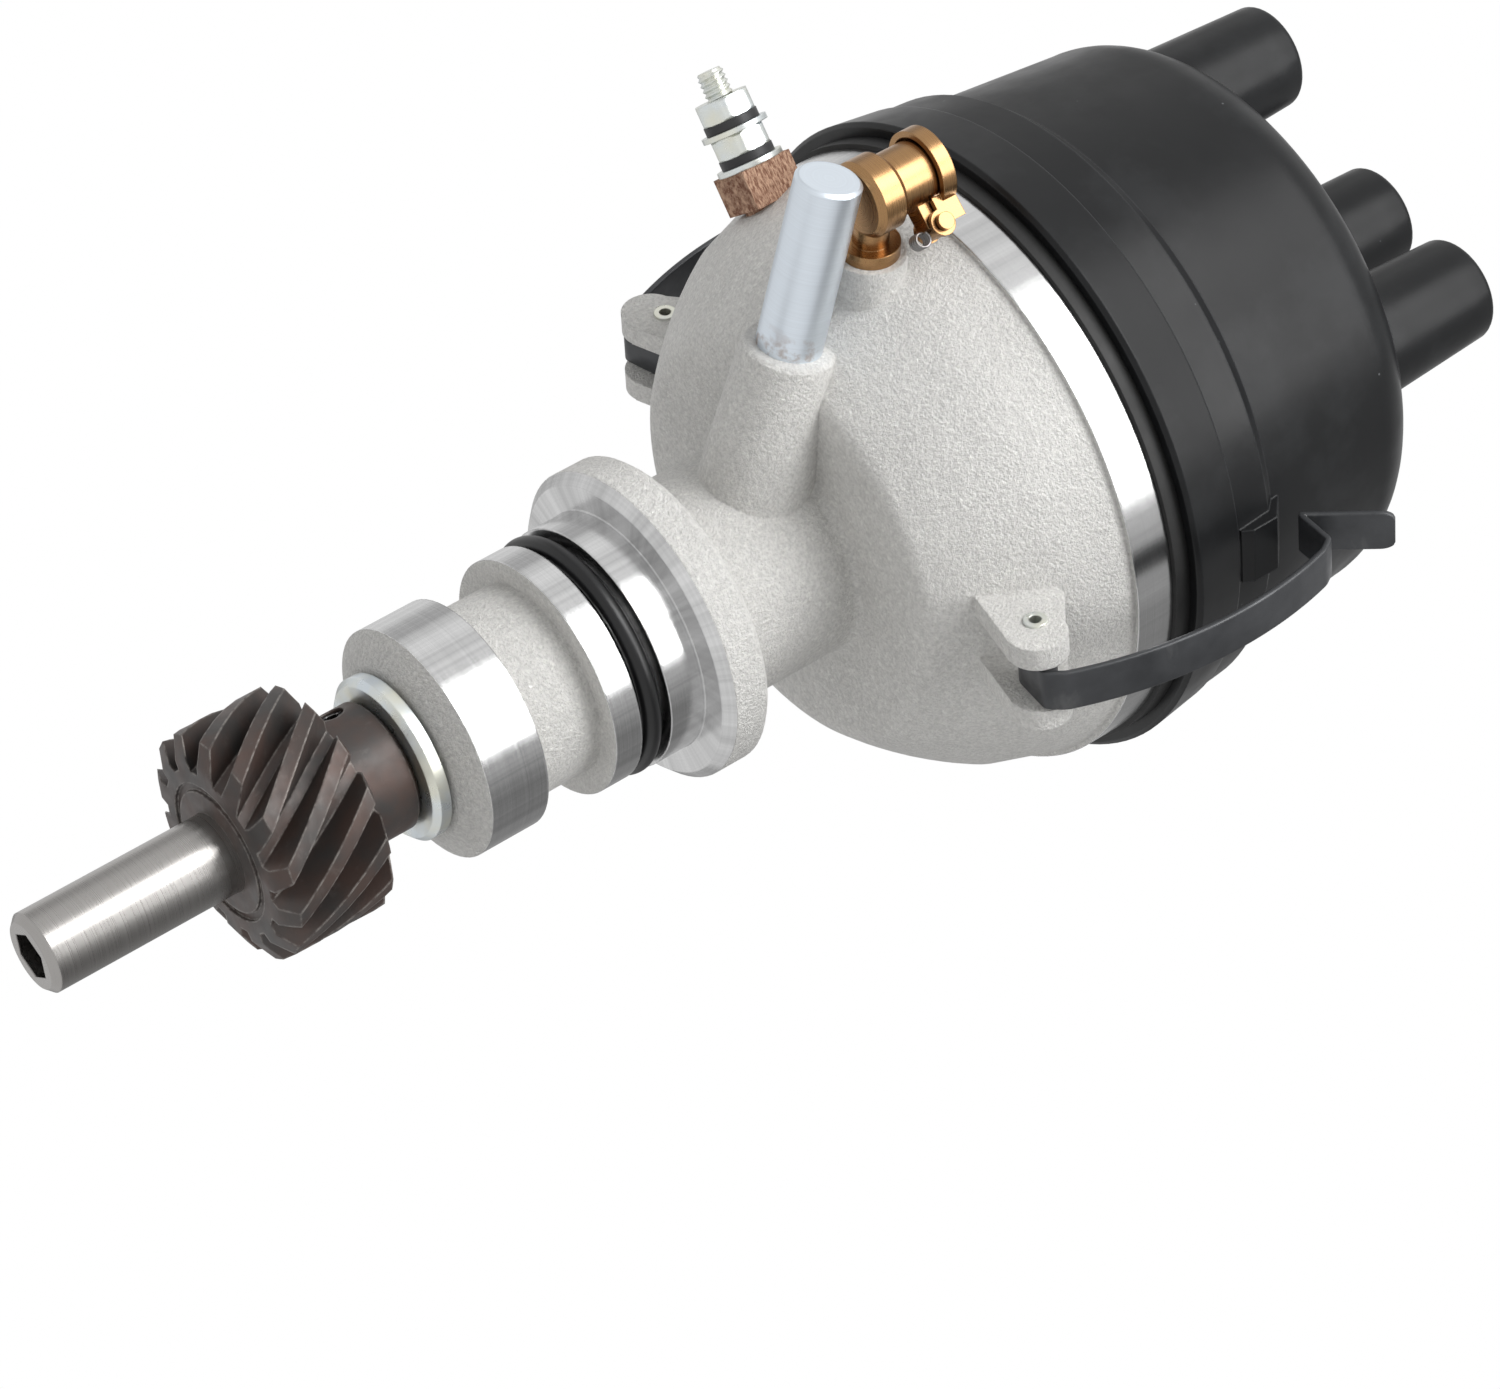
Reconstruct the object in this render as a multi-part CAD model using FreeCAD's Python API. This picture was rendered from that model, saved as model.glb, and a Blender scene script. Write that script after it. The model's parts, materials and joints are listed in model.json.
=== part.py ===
import FreeCAD, Part
import math
import os

# Ignition distributor for a four-cylinder engine, in millimetres.
# The Z axis is the drive shaft's axis and points towards the cap.
# The origin is on that axis, in the seat face of the mounting flange.
# The front spring clip lies in the YZ plane, on the +Y side.

V = FreeCAD.Vector
Z_AXIS = V(0, 0, 1)

# Clearances
RUNNING_FIT = 0.03
CLEARANCE_FIT = 0.15
BODY_GAP = 0.35

# Drive shaft
SHAFT_R = 5.94
SHAFT_TIP_Z = -98.3
SHAFT_CHAMFER = 1.0
HEX_SOCKET_AF = 6.35
HEX_SOCKET_DEPTH = 9.0
STUB_R = 4.5
STUB_TOP_Z = 63.0

# Drive gear
GEAR_TEETH = 14
GEAR_TIP_R = 17.0
GEAR_ROOT_R = 12.4
GEAR_FRONT_Z = -68.4
GEAR_FACE = 18.0
GEAR_HELIX_DEG = 35.0
GEAR_END_CHAMFER = 1.6
GEAR_RECESS_R = 10.4
GEAR_RECESS_DEPTH = 0.5
HUB_R = 9.7
HUB_LENGTH = 8.6
HUB_CHAMFER = 0.6
GEAR_PIN_R = 1.98
GEAR_PIN_BORE_R = 1.1
GEAR_PIN_SLOT = 0.7
GEAR_PIN_FROM_HUB_END = 4.3
GEAR_PIN_ANGLE = -24.0

# Thrust washer
WASHER_R = 12.4
WASHER_THICK = 2.6
WASHER_BEVEL = 0.9

# Housing: lower boss, waist, lands, pilot and flange
BOSS_R = 17.45
BOSS_FACE_R = 13.0
BOSS_BOTTOM_Z = -38.2
BOSS_BEVEL = 2.4
BOSS_TOP_Z = -26.3
WAIST_R = 14.6
LAND_R = 18.1
LAND_BOTTOM_Z = -15.2
LAND_WIDTH = 4.5
GROOVE_WIDTH = 4.8
GROOVE_R = 15.6
PILOT_R = 18.5
FLANGE_R = 23.8
FLANGE_THICK = 7.4
FLANGE_LOWER_CHAMFER = 1.5
FLANGE_UPPER_CHAMFER = 0.8
NECK_R = 17.0

# Housing: bowl
BOWL_FOOT_Z = 28.9
BOWL_FOOT_FILLET = 1.3
BOWL_BASE_R = 29.4
BOWL_BASE_MID = (31.4, 29.35)
BOWL_SHOULDER_R = 33.0
BOWL_SHOULDER_Z = 30.6
BOWL_MID_R = 38.55
BOWL_MID_Z = 37.0
BOWL_SIDE_Z = 44.0
BOWL_WALL = 2.05
BAND_R = 47.0
BAND_STEP = 0.7
BAND_BOTTOM_Z = 54.5
BOWL_RIM_Z = 61.0
BOWL_BORE_R = 41.0
LEDGE_WIDTH = 2.4
LEDGE_Z = 45.5
FLOOR_WALL = 3.9
FLOOR_R = 27.0
BOWL_SIDE_WALL = 4.75
CAVITY_MID_Z = 36.6
FILLET_R = 1.0

# Bushings in the housing
BUSHING_R = 8.0
LOWER_BUSHING_LENGTH = 24.0
UPPER_BUSHING_LENGTH = 20.0
RESERVOIR_R = 9.2
OIL_DUCT_R = 1.2

# Raised cast pad around the terminal
PAD_FROM_DEG = -62.0
PAD_TO_DEG = 40.0
PAD_BOTTOM_Z = 38.6
PAD_RISE = 0.7
PAD_TOP_RISE = 0.05
PAD_FOOT_INSET = 3.25

# Side post
POST_R = 4.76
POST_ANGLE = 8.2
POST_LEAN = 14.3
POST_FOOT_OFFSET = 4.03
POST_FOOT_Z = 29.38
POST_VISIBLE = 26.8
POST_BURIED = 13.0
POST_TIP_CHAMFER = 0.5
POST_BOSS_R = 6.7
POST_BOSS_FOOT_R = 8.4
POST_BOSS_LENGTH = 24.0

# Elbow oil cup
OILER_ANGLE = 8.5
OILER_STAND_OUT = 13.55
OILER_STEM_R = 2.6
OILER_STEM_Z = 43.4
OILER_STEM_BURIED = 6.0
OILER_SHOULDER_R = 5.6
OILER_SHOULDER_FROM = -2.8
OILER_SHOULDER_TO = 2.4
OILER_CUP_R = 4.65
OILER_CUP_LENGTH = 6.6
OILER_WALL = 0.8
OILER_PAD_R = 5.2
OILER_PAD_RISE = 3.55
LID_R = 5.9
LID_THICK = 0.8
LID_SKIRT = 1.5
LID_HINGE_ANGLE = 140.0
LID_HINGE_REACH = 7.8
LID_HINGE_DROP = 2.6
LID_PIN_R = 0.8
LID_EAR_R = 1.9
LID_EAR_THICK = 0.8
LID_EAR_GAP = 5.4
LID_SPRING_WIRE = 0.4

# Clip lugs, pins and spring clips
CLIP_WIDTH = 6.4
CLIP_THICK = 0.95
LUG_THICK = 3.4
LUG_SIDE_GAP = 0.4
LUG_NOSE_R = 4.3
LUG_NOSE = (48.0, 35.4)
REAR_CLIP_TURN = 184.0
REAR_CLIP_LIFT = 7.0
PIN_RADIUS_FROM_AXIS = 46.0
PIN_Z = 36.8
PIN_R = 1.7
PIN_BORE_R = 0.9
PIN_PROUD = 0.3
CLIP_EYE_GAP = 0.1
CLIP_FOOT = (51.6, 33.4)
CLIP_START = (53.6, 35.4)
CLIP_BOW = (59.9, 57.5)
CLIP_TOP = (58.2, 79.2)
CLIP_BEND = (56.9, 81.4)
CLIP_VEE = (49.9, 82.5)
CLIP_TAB = (59.0, 92.2)

# Gasket and cap
GASKET_THICK = 2.5
GASKET_OVERHANG = 0.7
GASKET_BORE_GAP = 1.2
CAP_RIM_R = 49.8
CAP_RIM_TOP_R = 48.8
CAP_RIM_HEIGHT = 8.6
CAP_BAND_R = 48.4
CAP_BAND_TOP_R = 47.9
CAP_BAND_TOP_Z = 78.6
CAP_BODY_R = 46.2
CAP_BODY_Z = 80.6
CAP_SHOULDER_R = 44.1
CAP_SHOULDER_DROP = 8.4
CAP_SHOULDER_MID_R = 41.8
CAP_SHOULDER_MID_DROP = 2.6
CAP_TOP_R = 36.0
CAP_TOP_Z = 113.2
CAP_WALL = 3.4
CAP_CEILING = 4.8
SPIGOT_DEPTH = 2.6
SPIGOT_WALL = 2.4
TOWER_COUNT = 4
TOWER_FIRST_DEG = -15.0
TOWER_PITCH_R = 32.4
TOWER_TIP_R = 8.0
TOWER_FOOT_R = 9.3
TOWER_HEIGHT = 18.6
CENTRE_TOWER_HEIGHT = 33.0
TOWER_ROUND = 1.0
SOCKET_R = 4.4
SOCKET_DEPTH = 17.0
INSERT_R = 3.0
INSERT_HEAD_R = 3.8
INSERT_HEAD_HEIGHT = 3.0
INSERT_TIP_Z = 86.0
INSERT_BOSS_R = 5.5
INSERT_BOSS_Z = 97.0
BRUSH_R = 2.4
BRUSH_BORE_R = 2.45
BRUSH_LENGTH = 9.0
BRUSH_TRAVEL = 1.5
BRUSH_SPRING_R = 1.6
BRUSH_SPRING_WIRE_R = 0.35
BRUSH_BOSS_R = 5.5
BRUSH_BOSS_Z = 101.5
LEDGE_BLOCK_WIDTH = 9.0
LEDGE_BLOCK_BOTTOM_Z = 72.6
LEDGE_BLOCK_RADIUS = 49.6
LEDGE_BLOCK_TOP_Z = 81.9
LEDGE_BLOCK_SLOPE_RUN = 3.4

# Terminal
TERMINAL_ANGLE = -33.5
TERMINAL_Z = 49.4
STUD_R = 2.08
STUD_TIP_RADIUS = 64.7
STUD_INNER_RADIUS = 34.8
INSULATOR_ALONG_Z = 8.6
INSULATOR_ACROSS = 8.6
INSULATOR_END_RADIUS = 50.0
INSULATOR_SEAT_RADIUS = 44.2
BUSH_R = 3.6
BUSH_FLANGE_R = 5.2
BUSH_FLANGE_THICK = 1.4
BUSH_FLANGE_RADIUS = 40.0
NUT_AF = 7.9
NUT_THICK = 3.2
INNER_NUT_THICK = 2.2
FLAT_WASHER_R = 5.0
FLAT_WASHER_THICK = 0.8
LOCK_WASHER_R = 4.1
LOCK_WASHER_THICK = 1.3

# Centrifugal advance
ADVANCE_FLOOR_GAP = 1.1
ADVANCE_BASE_THICK = 2.4
ADVANCE_BASE_HALF = 21.5
ADVANCE_BASE_WIDTH = 17.0
WEIGHT_PIVOT_R = 17.0
WEIGHT_PIN_R = 1.8
WEIGHT_PIN_HEIGHT = 9.0
WEIGHT_THICK = 4.6
WEIGHT_INNER_R = 9.6
WEIGHT_OUTER_R = 16.6
WEIGHT_FROM_DEG = 22.0
WEIGHT_TO_DEG = 138.0
WEIGHT_EYE_R = 4.0
DRIVE_PIN_AT = (-8.0, 10.5)
DRIVE_PIN_R = 1.3
DRIVE_PIN_RISE = 3.0
SPRING_POST_AT = (13.0, 5.6)

# Cam sleeve
CAM_PLATE_RISE = 8.4
CAM_PLATE_THICK = 1.8
CAM_PLATE_R = 19.0
CAM_PLATE_WIDTH = 9.6
CAM_SLOT_WIDTH = 3.6
CAM_SLOT_FROM = 11.0
CAM_SLOT_TO = 17.6
CAM_TUBE_R = 7.2
CAM_LOBE_Z = 47.6
CAM_LOBE_HEIGHT = 9.6
CAM_TIP_R = 8.7
CAM_FLAT_R = 7.6
CAM_TOP_R = 6.4
CAM_TOP_Z = 66.0
CAM_KEY_WIDTH = 2.4
FELT_THICK = 2.6

# Breaker plate and contact set
PLATE_EDGE_GAP = 0.4
PLATE_THICK = 1.7
PLATE_HOLE_R = 11.0
PLATE_SCREW_R = 1.6
PLATE_SCREW_HEAD_R = 3.0
PLATE_SCREW_PITCH_R = 36.5
PLATE_SCREW_ANGLES = (75.0, 245.0)
POINTS_PIVOT_AT = (15.2, -18.0)
POINTS_PIVOT_R = 1.9
POINTS_PIVOT_TOP_Z = 57.5
POINTS_BASE_THICK = 1.1
POINTS_CONTACT_AT = (15.2, 17.0)
POINTS_GAP = 0.45
CONTACT_R = 2.2
CONTACT_THICK = 1.1
ARM_THICK = 1.4
ARM_BOTTOM_Z = 50.2
ARM_HEIGHT = 5.0
ARM_BOSS_R = 3.1
BLOCK_GAP = 0.35
BLOCK_HEIGHT = 4.0
BLOCK_WIDTH = 4.4
POINTS_SCREW_AT = (26.0, 8.0)
ANCHOR_AT = (24.0, -12.0)
ANCHOR_R = 2.4

# Condenser
CONDENSER_R = 5.6
CONDENSER_LENGTH = 22.0
CONDENSER_AT = (-24.0, -2.0)
STRAP_THICK = 0.8
STRAP_WIDTH = 8.0
LEAD_R = 0.9

# Rotor
ROTOR_SKIRT_R = 11.0
ROTOR_SKIRT_Z = 60.0
ROTOR_SKIRT_TOP_Z = 80.0
ROTOR_NECK_R = 7.0
ROTOR_ARM_Z = 88.0
ROTOR_ARM_THICK = 4.6
ROTOR_ARM_WIDTH = 11.0
ROTOR_ARM_REACH = 25.0
ROTOR_TAIL_REACH = 9.0
ROTOR_DEG = 30.0
BLADE_THICK = 1.0
BLADE_WIDTH = 7.0
BLADE_REACH = 28.2

# Values that follow from the ones above
BOWL_SIDE_R = BOWL_BORE_R + BOWL_WALL
BOWL_WALL_TOP_R = BAND_R - BAND_STEP
LEDGE_R = BOWL_BORE_R - LEDGE_WIDTH
CAVITY_MID_R = BOWL_MID_R - BOWL_SIDE_WALL
FLOOR_Z = BOWL_FOOT_Z + FLOOR_WALL
ADVANCE_BASE_Z = FLOOR_Z + ADVANCE_FLOOR_GAP
WEIGHT_PIN_TOP_Z = ADVANCE_BASE_Z + WEIGHT_PIN_HEIGHT
CAM_PLATE_Z = ADVANCE_BASE_Z + CAM_PLATE_RISE
POST_FOOT_RADIUS = BOWL_SHOULDER_R + POST_FOOT_OFFSET
OILER_RADIUS = BOWL_SIDE_R + OILER_STAND_OUT
OILER_PAD_RADIUS = BOWL_SIDE_R + OILER_PAD_RISE
GASKET_R = BAND_R + GASKET_OVERHANG
GASKET_BORE_R = BOWL_BORE_R + GASKET_BORE_GAP
CAP_SHOULDER_Z = CAP_TOP_Z - CAP_SHOULDER_DROP
CAP_SHOULDER_MID = (CAP_SHOULDER_MID_R, CAP_TOP_Z - CAP_SHOULDER_MID_DROP)
TOWER_TIP_Z = CAP_TOP_Z + TOWER_HEIGHT
CENTRE_TOWER_TIP_Z = CAP_TOP_Z + CENTRE_TOWER_HEIGHT
PLATE_R = BOWL_BORE_R - PLATE_EDGE_GAP
BUSHING_BORE_R = SHAFT_R + RUNNING_FIT
LAND_TOP_Z = LAND_BOTTOM_Z + LAND_WIDTH
PILOT_BOTTOM_Z = LAND_TOP_Z + GROOVE_WIDTH
GEAR_BACK_Z = GEAR_FRONT_Z + GEAR_FACE
HUB_END_Z = GEAR_BACK_Z + HUB_LENGTH
WASHER_BOTTOM_Z = HUB_END_Z + 0.3
PIN_LUG_INNER = CLIP_WIDTH / 2 + LUG_SIDE_GAP
PIN_LUG_OUTER = PIN_LUG_INNER + LUG_THICK
GASKET_TOP_Z = BOWL_RIM_Z + GASKET_THICK
CAP_RIM_TOP_Z = GASKET_TOP_Z + CAP_RIM_HEIGHT
SPIGOT_R = BOWL_BORE_R - CLEARANCE_FIT
CEILING_Z = CAP_TOP_Z - CAP_CEILING
PLATE_TOP_Z = LEDGE_Z + PLATE_THICK
WEIGHT_BOTTOM_Z = ADVANCE_BASE_Z + ADVANCE_BASE_THICK + 0.2
BLADE_Z = ROTOR_ARM_Z + ROTOR_ARM_THICK
BRUSH_TIP_Z = BLADE_Z + BLADE_THICK + BODY_GAP
OILER_CUP_TOP_Z = OILER_STEM_Z + OILER_SHOULDER_TO + OILER_CUP_LENGTH


def polar(radius, degrees, z=0.0):
    """Point at a radius and an angle around the shaft axis."""
    a = math.radians(degrees)
    return V(radius * math.cos(a), radius * math.sin(a), z)


def cylinder(radius, height, base, direction=Z_AXIS):
    return Part.makeCylinder(radius, height, base, direction)


def tube(outer_r, inner_r, height, base, direction=Z_AXIS):
    ring = cylinder(outer_r, height, base, direction)
    return ring.cut(cylinder(inner_r, height, base, direction))


def hexagon(across_flats, height, base, direction=Z_AXIS, side=V(1, 0, 0)):
    """Hexagonal prism with one corner towards side."""
    corner = across_flats / math.sqrt(3)
    cross = direction.cross(side)
    corners = []
    for i in range(7):
        a = math.radians(60 * i)
        corners.append(base + side * (corner * math.cos(a)) + cross * (corner * math.sin(a)))
    face = Part.Face(Part.makePolygon(corners))
    return face.extrude(direction * height)


def turned(path):
    """Solid of revolution about Z.

    The path holds (radius, z) points, and an arc is a pair of such points:
    a point on the arc, then its end.
    """
    edges = []
    start = V(path[0][0], 0, path[0][1])
    previous = start
    for step in path[1:]:
        if isinstance(step[0], tuple):
            middle = V(step[0][0], 0, step[0][1])
            end = V(step[1][0], 0, step[1][1])
            edges.append(Part.Arc(previous, middle, end).toShape())
        else:
            end = V(step[0], 0, step[1])
            edges.append(Part.makeLine(previous, end))
        previous = end
    edges.append(Part.makeLine(previous, start))
    face = Part.Face(Part.Wire(edges))
    return face.revolve(V(0, 0, 0), Z_AXIS, 360)


def prism(points, z, height):
    """Upright prism over a closed outline of (x, y) points."""
    corners = [V(x, y, z) for x, y in points]
    corners.append(corners[0])
    return Part.Face(Part.makePolygon(corners)).extrude(V(0, 0, height))


def slab(length, width, height, centre, degrees=0.0):
    """Box centred on a point in plan, standing on its z and turned about Z."""
    box = Part.makeBox(length, width, height, V(-length / 2, -width / 2, 0))
    box.rotate(V(0, 0, 0), Z_AXIS, degrees)
    box.translate(centre)
    return box


def capsule(first, second, radius, z, height):
    """Plate with two round ends around two points in plan."""
    a = V(first[0], first[1], z)
    b = V(second[0], second[1], z)
    along = b - a
    bar = slab(along.Length, 2 * radius, height, (a + b) * 0.5, math.degrees(math.atan2(along.y, along.x)))
    return bar.fuse([cylinder(radius, height, a), cylinder(radius, height, b)]).removeSplitter()


def sector(inner_r, outer_r, from_deg, to_deg, z, height):
    """Upright ring sector."""
    ring = Part.makeCylinder(outer_r, height, V(0, 0, z), Z_AXIS, to_deg - from_deg)
    ring.rotate(V(0, 0, 0), Z_AXIS, from_deg)
    return ring.cut(cylinder(inner_r, height, V(0, 0, z)))


def ribbon(points, thickness):
    """Outline of a bent strip: both sides of a path, with mitred corners."""
    left = []
    right = []
    for i, point in enumerate(points):
        before = points[max(i - 1, 0)]
        after = points[min(i + 1, len(points) - 1)]
        into = unit(point, before) if i > 0 else unit(after, point)
        out = unit(after, point) if i < len(points) - 1 else into
        normal = (-(into[1] + out[1]), into[0] + out[0])
        size = math.hypot(normal[0], normal[1])
        normal = (normal[0] / size, normal[1] / size)
        cosine = normal[0] * -into[1] + normal[1] * into[0]
        reach = thickness / 2 / max(cosine, 0.45)
        left.append((point[0] + normal[0] * reach, point[1] + normal[1] * reach))
        right.append((point[0] - normal[0] * reach, point[1] - normal[1] * reach))
    return left + right[::-1]


def unit(head, tail):
    dx = head[0] - tail[0]
    dy = head[1] - tail[1]
    size = math.hypot(dx, dy)
    return (dx / size, dy / size)


def arc_points(start, middle, end, count):
    """Points along the arc through three points, its ends included."""
    arc = Part.Arc(V(start[0], start[1], 0), V(middle[0], middle[1], 0), V(end[0], end[1], 0))
    return [(p.x, p.y) for p in arc.toShape().discretize(count)]


def meridian_prism(points, width):
    """Prism over an outline in the YZ plane, centred on x = 0."""
    corners = [V(-width / 2, y, z) for y, z in points]
    corners.append(corners[0])
    return Part.Face(Part.makePolygon(corners)).extrude(V(width, 0, 0))


def coil(wire_r, coil_r, length, turns, base, direction):
    """Helical spring of round wire."""
    path = Part.makeHelix(length / turns, length, coil_r)
    section = Part.Wire(Part.makeCircle(wire_r, V(coil_r, 0, 0), V(0, 1, 0)))
    spring = Part.Wire(path).makePipeShell([section], True, True)
    spring.Placement = FreeCAD.Placement(base, FreeCAD.Rotation(Z_AXIS, direction))
    return spring


def lead(points, radius):
    """Round flexible wire along a smooth curve through its points."""
    curve = Part.BSplineCurve()
    curve.interpolate([V(*p) for p in points])
    path = Part.Wire(curve.toShape())
    start = path.Edges[0].tangentAt(path.Edges[0].FirstParameter)
    section = Part.Wire(Part.makeCircle(radius, V(*points[0]), start))
    return path.makePipeShell([section], True, True)


def turn_copy(shape, degrees):
    """Copy of a shape turned about the shaft axis."""
    other = shape.copy()
    other.rotate(V(0, 0, 0), Z_AXIS, degrees)
    return other


def rear(shape):
    """Copy of a front clip feature at the rear clip's place."""
    other = turn_copy(shape, REAR_CLIP_TURN)
    other.translate(V(0, 0, REAR_CLIP_LIFT))
    return other


def post_frame():
    """Tip point of the side post and the direction from its tip inwards."""
    lean = math.radians(POST_LEAN)
    outwards = polar(math.cos(lean), POST_ANGLE, math.sin(lean))
    foot = polar(POST_FOOT_RADIUS, POST_ANGLE, POST_FOOT_Z)
    return foot + outwards * POST_VISIBLE, outwards * -1


def terminal_frame():
    """Outward direction of the terminal stud and a point on it at the axis."""
    return polar(1, TERMINAL_ANGLE), V(0, 0, TERMINAL_Z)


def terminal_cylinder(radius, from_radius, to_radius):
    outwards, base = terminal_frame()
    return cylinder(radius, to_radius - from_radius, base + outwards * from_radius, outwards)


def housing_outside():
    inset = BOWL_FOOT_FILLET * (1 - math.sqrt(0.5))
    return turned([
        (0, BOSS_BOTTOM_Z),
        (BOSS_FACE_R, BOSS_BOTTOM_Z),
        (BOSS_R, BOSS_BOTTOM_Z + BOSS_BEVEL),
        (BOSS_R, BOSS_TOP_Z),
        (WAIST_R, BOSS_TOP_Z),
        (WAIST_R, LAND_BOTTOM_Z),
        (LAND_R, LAND_BOTTOM_Z),
        (LAND_R, LAND_TOP_Z),
        (GROOVE_R, LAND_TOP_Z),
        (GROOVE_R, PILOT_BOTTOM_Z),
        (PILOT_R, PILOT_BOTTOM_Z),
        (PILOT_R, 0),
        (FLANGE_R - FLANGE_LOWER_CHAMFER, 0),
        (FLANGE_R, FLANGE_LOWER_CHAMFER),
        (FLANGE_R, FLANGE_THICK - FLANGE_UPPER_CHAMFER),
        (FLANGE_R - FLANGE_UPPER_CHAMFER, FLANGE_THICK),
        (NECK_R, FLANGE_THICK),
        (NECK_R, BOWL_FOOT_Z - BOWL_FOOT_FILLET),
        ((NECK_R + inset, BOWL_FOOT_Z - inset), (NECK_R + BOWL_FOOT_FILLET, BOWL_FOOT_Z)),
        (BOWL_BASE_R, BOWL_FOOT_Z),
        (BOWL_BASE_MID, (BOWL_SHOULDER_R, BOWL_SHOULDER_Z)),
        ((BOWL_MID_R, BOWL_MID_Z), (BOWL_SIDE_R, BOWL_SIDE_Z)),
        (BOWL_WALL_TOP_R, BAND_BOTTOM_Z),
        (BAND_R, BAND_BOTTOM_Z),
        (BAND_R, BOWL_RIM_Z),
        (0, BOWL_RIM_Z),
    ])


def housing_cavity():
    """Room inside the bowl, with the ledge that carries the breaker plate."""
    return turned([
        (0, FLOOR_Z),
        (FLOOR_R, FLOOR_Z),
        ((CAVITY_MID_R, CAVITY_MID_Z), (LEDGE_R, LEDGE_Z - 3)),
        (LEDGE_R, LEDGE_Z),
        (BOWL_BORE_R, LEDGE_Z),
        (BOWL_BORE_R, BOWL_RIM_Z + 1),
        (0, BOWL_RIM_Z + 1),
    ])


def shaft_bore():
    """Bore for both bushings, widened between them as an oil reservoir."""
    bore = cylinder(BUSHING_R, FLOOR_Z - BOSS_BOTTOM_Z + 2, V(0, 0, BOSS_BOTTOM_Z - 1))
    low = BOSS_BOTTOM_Z + LOWER_BUSHING_LENGTH
    high = FLOOR_Z - UPPER_BUSHING_LENGTH
    return bore.fuse(cylinder(RESERVOIR_R, high - low, V(0, 0, low)))


def terminal_pad():
    """Slightly raised cast area of the wall around the terminal."""
    height = BAND_BOTTOM_Z - PAD_BOTTOM_Z
    low_r = BOWL_SIDE_R + PAD_RISE - PAD_FOOT_INSET
    middle_r = BOWL_SIDE_R + (PAD_RISE + PAD_TOP_RISE) / 2
    high_r = BOWL_WALL_TOP_R + PAD_TOP_RISE
    ring = turned([
        (BOWL_BORE_R, PAD_BOTTOM_Z),
        (low_r, PAD_BOTTOM_Z),
        ((middle_r, BOWL_SIDE_Z), (high_r, BAND_BOTTOM_Z)),
        (BOWL_BORE_R, BAND_BOTTOM_Z),
    ])
    wedge = sector(LEDGE_R, BAND_R + PAD_RISE, PAD_FROM_DEG, PAD_TO_DEG, PAD_BOTTOM_Z, height)
    return ring.common(wedge)


def post_boss():
    """Tapered boss that runs from the neck up to the foot of the side post."""
    tip, inwards = post_frame()
    top = tip + inwards * POST_VISIBLE
    boss = Part.makeCone(POST_BOSS_R, POST_BOSS_FOOT_R, POST_BOSS_LENGTH, top, inwards)
    top_edge = min(boss.Edges, key=lambda e: (e.CenterOfMass - top).Length)
    return boss.makeChamfer(0.5, [top_edge])


def oiler_pad():
    base = polar(LEDGE_R, OILER_ANGLE, OILER_STEM_Z)
    return cylinder(OILER_PAD_R, OILER_PAD_RADIUS - LEDGE_R, base, polar(1, OILER_ANGLE))


def lug_plate():
    """One cheek of the clip lug on the +Y side, between the bowl and the pin."""
    y, z = LUG_NOSE
    outline = [
        (BOWL_MID_R - 3.4, z - 0.8),
        (BOWL_MID_R + 1.5, z - 2.2),
        (y - 1.0, z - LUG_NOSE_R),
        (y + LUG_NOSE_R, z + 0.6),
        (y + LUG_NOSE_R - 2.4, z + 3.6),
        (BOWL_SIDE_R + 1.0, BOWL_SIDE_Z - 0.2),
        (BOWL_SIDE_R - 2.0, BOWL_SIDE_Z - 0.2),
    ]
    plate = meridian_prism(outline, LUG_THICK)
    nose_disc = cylinder(LUG_NOSE_R, LUG_THICK, V(-LUG_THICK / 2, y, z), V(1, 0, 0))
    return plate.fuse(nose_disc)


def lug():
    """Both cheeks of the +Y lug, with the hole for the clip pin."""
    cheeks = []
    for side in (-1, 1):
        cheek = lug_plate()
        cheek.translate(V(side * (PIN_LUG_INNER + LUG_THICK / 2), 0, 0))
        cheeks.append(cheek)
    return cheeks


def lug_pin_hole():
    base = V(-PIN_LUG_OUTER - 1, PIN_RADIUS_FROM_AXIS, PIN_Z)
    return cylinder(PIN_R, 2 * PIN_LUG_OUTER + 2, base, V(1, 0, 0))


def clip_relief():
    """Shallow pocket in the bowl that keeps the clip's eye free."""
    base = V(-PIN_LUG_INNER, PIN_RADIUS_FROM_AXIS, PIN_Z)
    reach = PIN_R + CLIP_EYE_GAP + CLIP_THICK + BODY_GAP + 0.3
    return cylinder(reach, 2 * PIN_LUG_INNER, base, V(1, 0, 0))


def terminal_holes():
    """Seat of the insulator block and clearance hole of the bush."""
    outwards, base = terminal_frame()
    block = insulator_box(INSULATOR_SEAT_RADIUS, BAND_R + 4)
    hole = terminal_cylinder(BUSH_R, LEDGE_R, BAND_R + 2)
    inner_seat = terminal_cylinder(BUSH_FLANGE_R + 0.2, LEDGE_R - 4, BUSH_FLANGE_RADIUS + BUSH_FLANGE_THICK)
    return [block, hole, inner_seat]


def insulator_box(from_radius, to_radius):
    length = to_radius - from_radius
    centre = polar((from_radius + to_radius) / 2, TERMINAL_ANGLE, TERMINAL_Z - INSULATOR_ALONG_Z / 2)
    return slab(length, INSULATOR_ACROSS, INSULATOR_ALONG_Z, centre, TERMINAL_ANGLE)


def post_hole():
    """Press-fit hole, which also clears the bowl beside the standing post."""
    tip, inwards = post_frame()
    return cylinder(POST_R, POST_VISIBLE + POST_BURIED, tip, inwards)


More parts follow.
